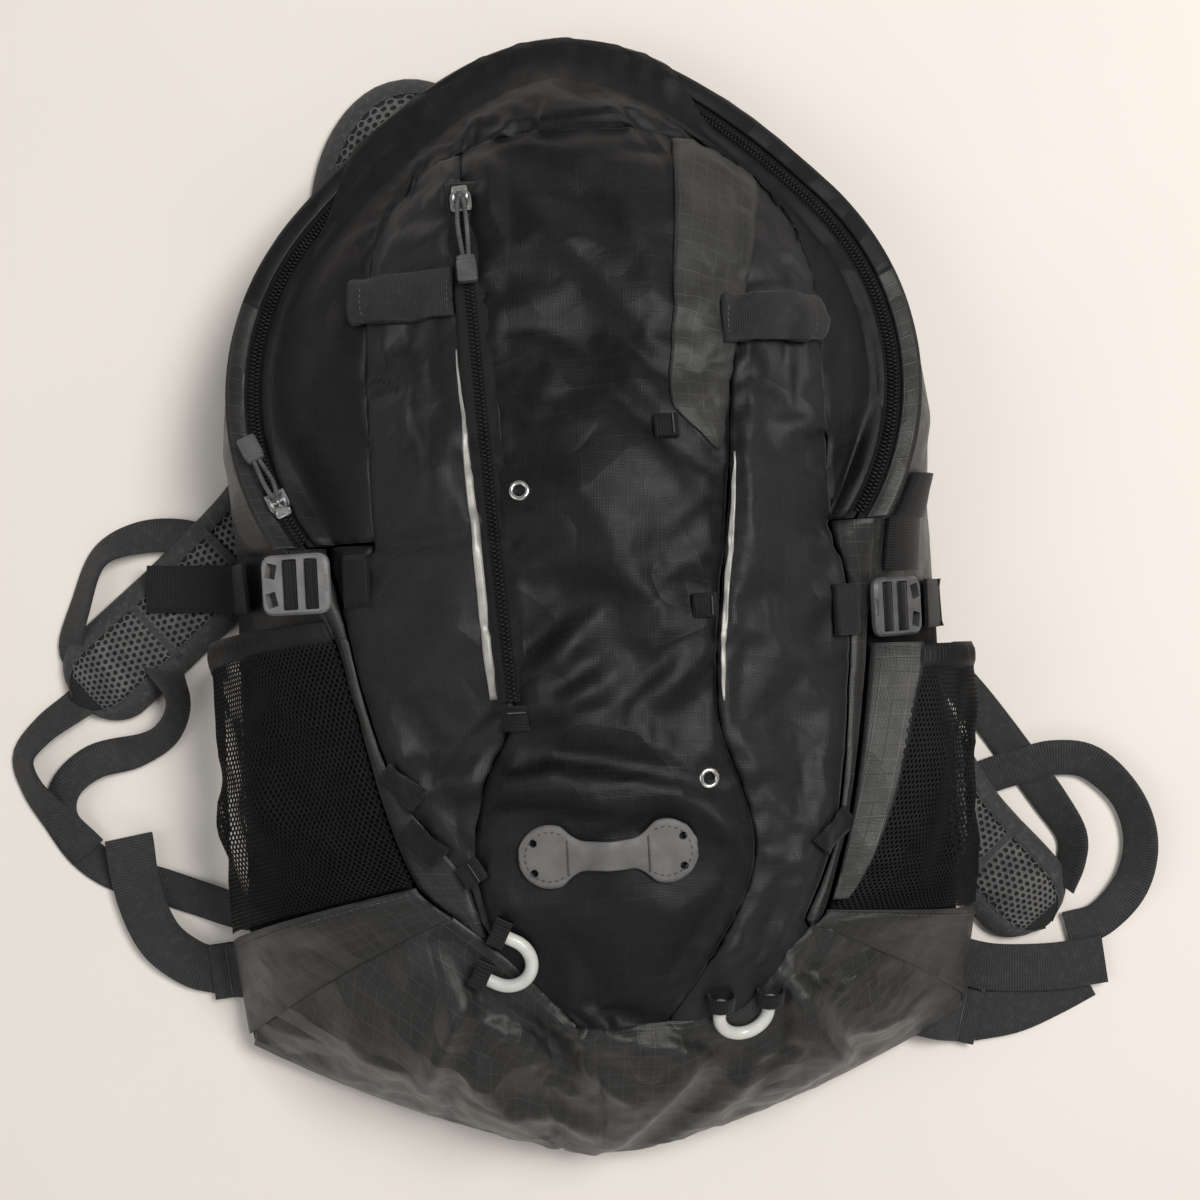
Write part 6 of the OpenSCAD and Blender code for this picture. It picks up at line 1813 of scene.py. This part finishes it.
backSet = {"width": 150, "length": 330, "round": 24, "mid": -20, "thick": 11.7, "channel": 14, "deep": 5,
           "rows": 67,
           "cols": 45}
halfW, halfL, corner = backSet["width"] / 2, backSet["length"] / 2, backSet["round"]
rowY = halfL * np.sin(np.linspace(-1, 1, backSet["rows"]) * np.pi / 2 * 0.999)[:, None]
away = np.clip(np.abs(rowY) - (halfL - corner), 0, None)
wide = halfW - corner + np.sqrt(np.clip(corner ** 2 - away ** 2, 0, None))
px = wide * np.sin(np.linspace(-1, 1, backSet["cols"]) * np.pi / 2 * 0.999)
py = rowY + 0 * px
edge = np.minimum(wide - np.abs(px), halfL - np.abs(py))
crown = np.sqrt(np.clip(1 - (1 - np.minimum(1, edge / 15)) ** 2, 0, 1))
groove = sum(backSet["deep"] * np.exp(-((px - q) / (backSet["channel"] * 0.42)) ** 4) for q in (-37.5, 37.5))
thick = backSet["thick"]
underZ = np.minimum(thick * (1 - crown) * 0.9 + groove * crown, thick - 1.2)
points = [np.stack([px, py + backSet["mid"], z], -1).reshape(-1, 3) for z in (underZ, 0 * px + thick - 0.1)]
faces = slabFaces(backSet["rows"], backSet["cols"], True)
hold = np.concatenate([np.where(groove > 2.5, 0.9, 0.04).ravel(), np.ones(px.size)])
points = puffed("back_pad_cover", np.concatenate(points), faces, hold, 3.0, 2.0)
points[:, 2] = np.clip(points[:, 2], 0.0, thick - 0.1)
uv = np.stack([px, py], -1).reshape(-1, 2)
backPad = piece("back_pad_cover", points, faces, meshFoam, np.concatenate([uv, uv]))
settle(consistent(backPad, 60), "pack", "back_foam", "back_pad")

sleeveSet = {"half": 99, "low": -172, "open": 54, "floor": 14, "top": 42.3, "round": np.pi / 2 * 0.93}


def sleeveX(u):
    return sleeveSet["half"] * np.sin(u * sleeveSet["round"]) / math.sin(sleeveSet["round"])


u, y = np.meshgrid(np.linspace(-1, 1, 60), np.linspace(sleeveSet["low"], sleeveSet["open"], 70))
high = (1 - np.abs(u) ** 9) * ease((y - sleeveSet["low"]) / 9) ** 0.5
x = sleeveX(u)
slack = 1.1 * wobble(x, y, 34, 30) - 1.3
z = sleeveSet["floor"] + 0.2 + (sleeveSet["top"] - sleeveSet["floor"] - 0.4 + slack) * high
sleeve = clothPiece("hydration_sleeve_cloth", np.stack([x, y, z], -1), liningCloth, thick=0.9, fine=0.2,
                    facing=(0, 0, 1))
settle(sleeve, "pack", "black_nylon", "hydration_sleeve")
x = np.linspace(-0.97, 0.97, 60)
line = np.stack([sleeveX(x), 0 * x + sleeveSet["open"] - 3, np.interp(x, u[-1], z[-1])], 1)
ups = upsOf(line, (0, -1, 0))
settle(consistent(ribbon("sleeve_binding", line + ups * 0.1, ups, 7, 0.7, bindTwill), 50), "pack",
       "black_nylon")

bladder = {"y": -15, "length": 276, "width": 170, "thick": 22, "z": 25.3, "cap": 82}


def bladderRing(t, count):
    e = np.sqrt(1 - (2 * t - 1) ** 2 * 0.97)
    a = np.linspace(0, 2 * np.pi, count, endpoint=False)
    w, h = bladder["width"] / 2 * (0.55 + 0.45 * e ** 0.5), bladder["thick"] / 2 * e
    x, z = w * np.cos(a), h * np.sign(np.sin(a)) * np.abs(np.sin(a)) ** 0.85
    z = z * (1 - 0.1 * np.exp(-(x / 5.0) ** 2) * np.exp(-((t - 0.35) / 0.2) ** 4))  # a middle crease
    return np.stack([x, 0 * x + bladder["y"] + bladder["length"] * (t - 0.5), bladder["z"] + z], 1)


rings = np.stack([bladderRing((1 - math.cos(q)) / 2, 64) for q in np.linspace(0, math.pi, 50)])
settle(consistent(loft("reservoir_film", rings, bladderFilm), 50), "pack", "bladder_film", "reservoir")

# Radius and height of the collar and of the cap, whose rim has grips
capSet = {"collar": [(16.5, 30), (21, 30), (21, 45.3), (16.5, 45.3)],
          "cap": [(21.4, 38.3), (24.3, 38.3), (25, 38.9), (25, 46.4), (24.4, 47.6), (22.6, 48.3),
                  (17.5, 48.3),
                  (16.8, 47.5), (0.6, 47.4), (0.6, 46.7), (21.4, 46.7)],
          "sides": 96, "grip": 0.022}
capAt = shifted(0, bladder["cap"], 0)
points, faces = lathed(capSet["collar"], 64)
collar = piece("reservoir_collar", moved(points, capAt), faces, capPlastic)
settle(consistent(collar), "pack", "cap_plastic")
points, faces = lathed(capSet["cap"], capSet["sides"])
points = points.reshape(-1, capSet["sides"], 3)
grips = np.cos(np.arange(capSet["sides"]) * 2 * np.pi / 8) < -0.2
points[1:5, :, :2] *= (1 - capSet["grip"] * grips)[:, None]
cap = piece("reservoir_cap_ribbed", moved(points.reshape(-1, 3), capAt), faces, capPlastic)
settle(consistent(cap, 30), "cap", "cap_plastic", "reservoir_cap")
line = curveThrough([(0, 171.2, 14.2), (0, 171.0, 20), (0, 170.0, 24.6), (0, 166, 25.3), (0, 148, 25.3),
                     (0, 124, 25.3)], 1.5)
hanger = ribbon("reservoir_hanger_webbing", line, upsOf(line, (1, 0, 0)), 20, 1.4, blackWebbing)
settle(consistent(hanger, 50), "pack", "black_webbing", "reservoir_hanger")
for name, mat in (("reservoir_outlet", capPlastic), ("hose_port", portRubber)):
    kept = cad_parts[name]
    kept.data.materials.clear()
    kept.data.materials.append(mat)
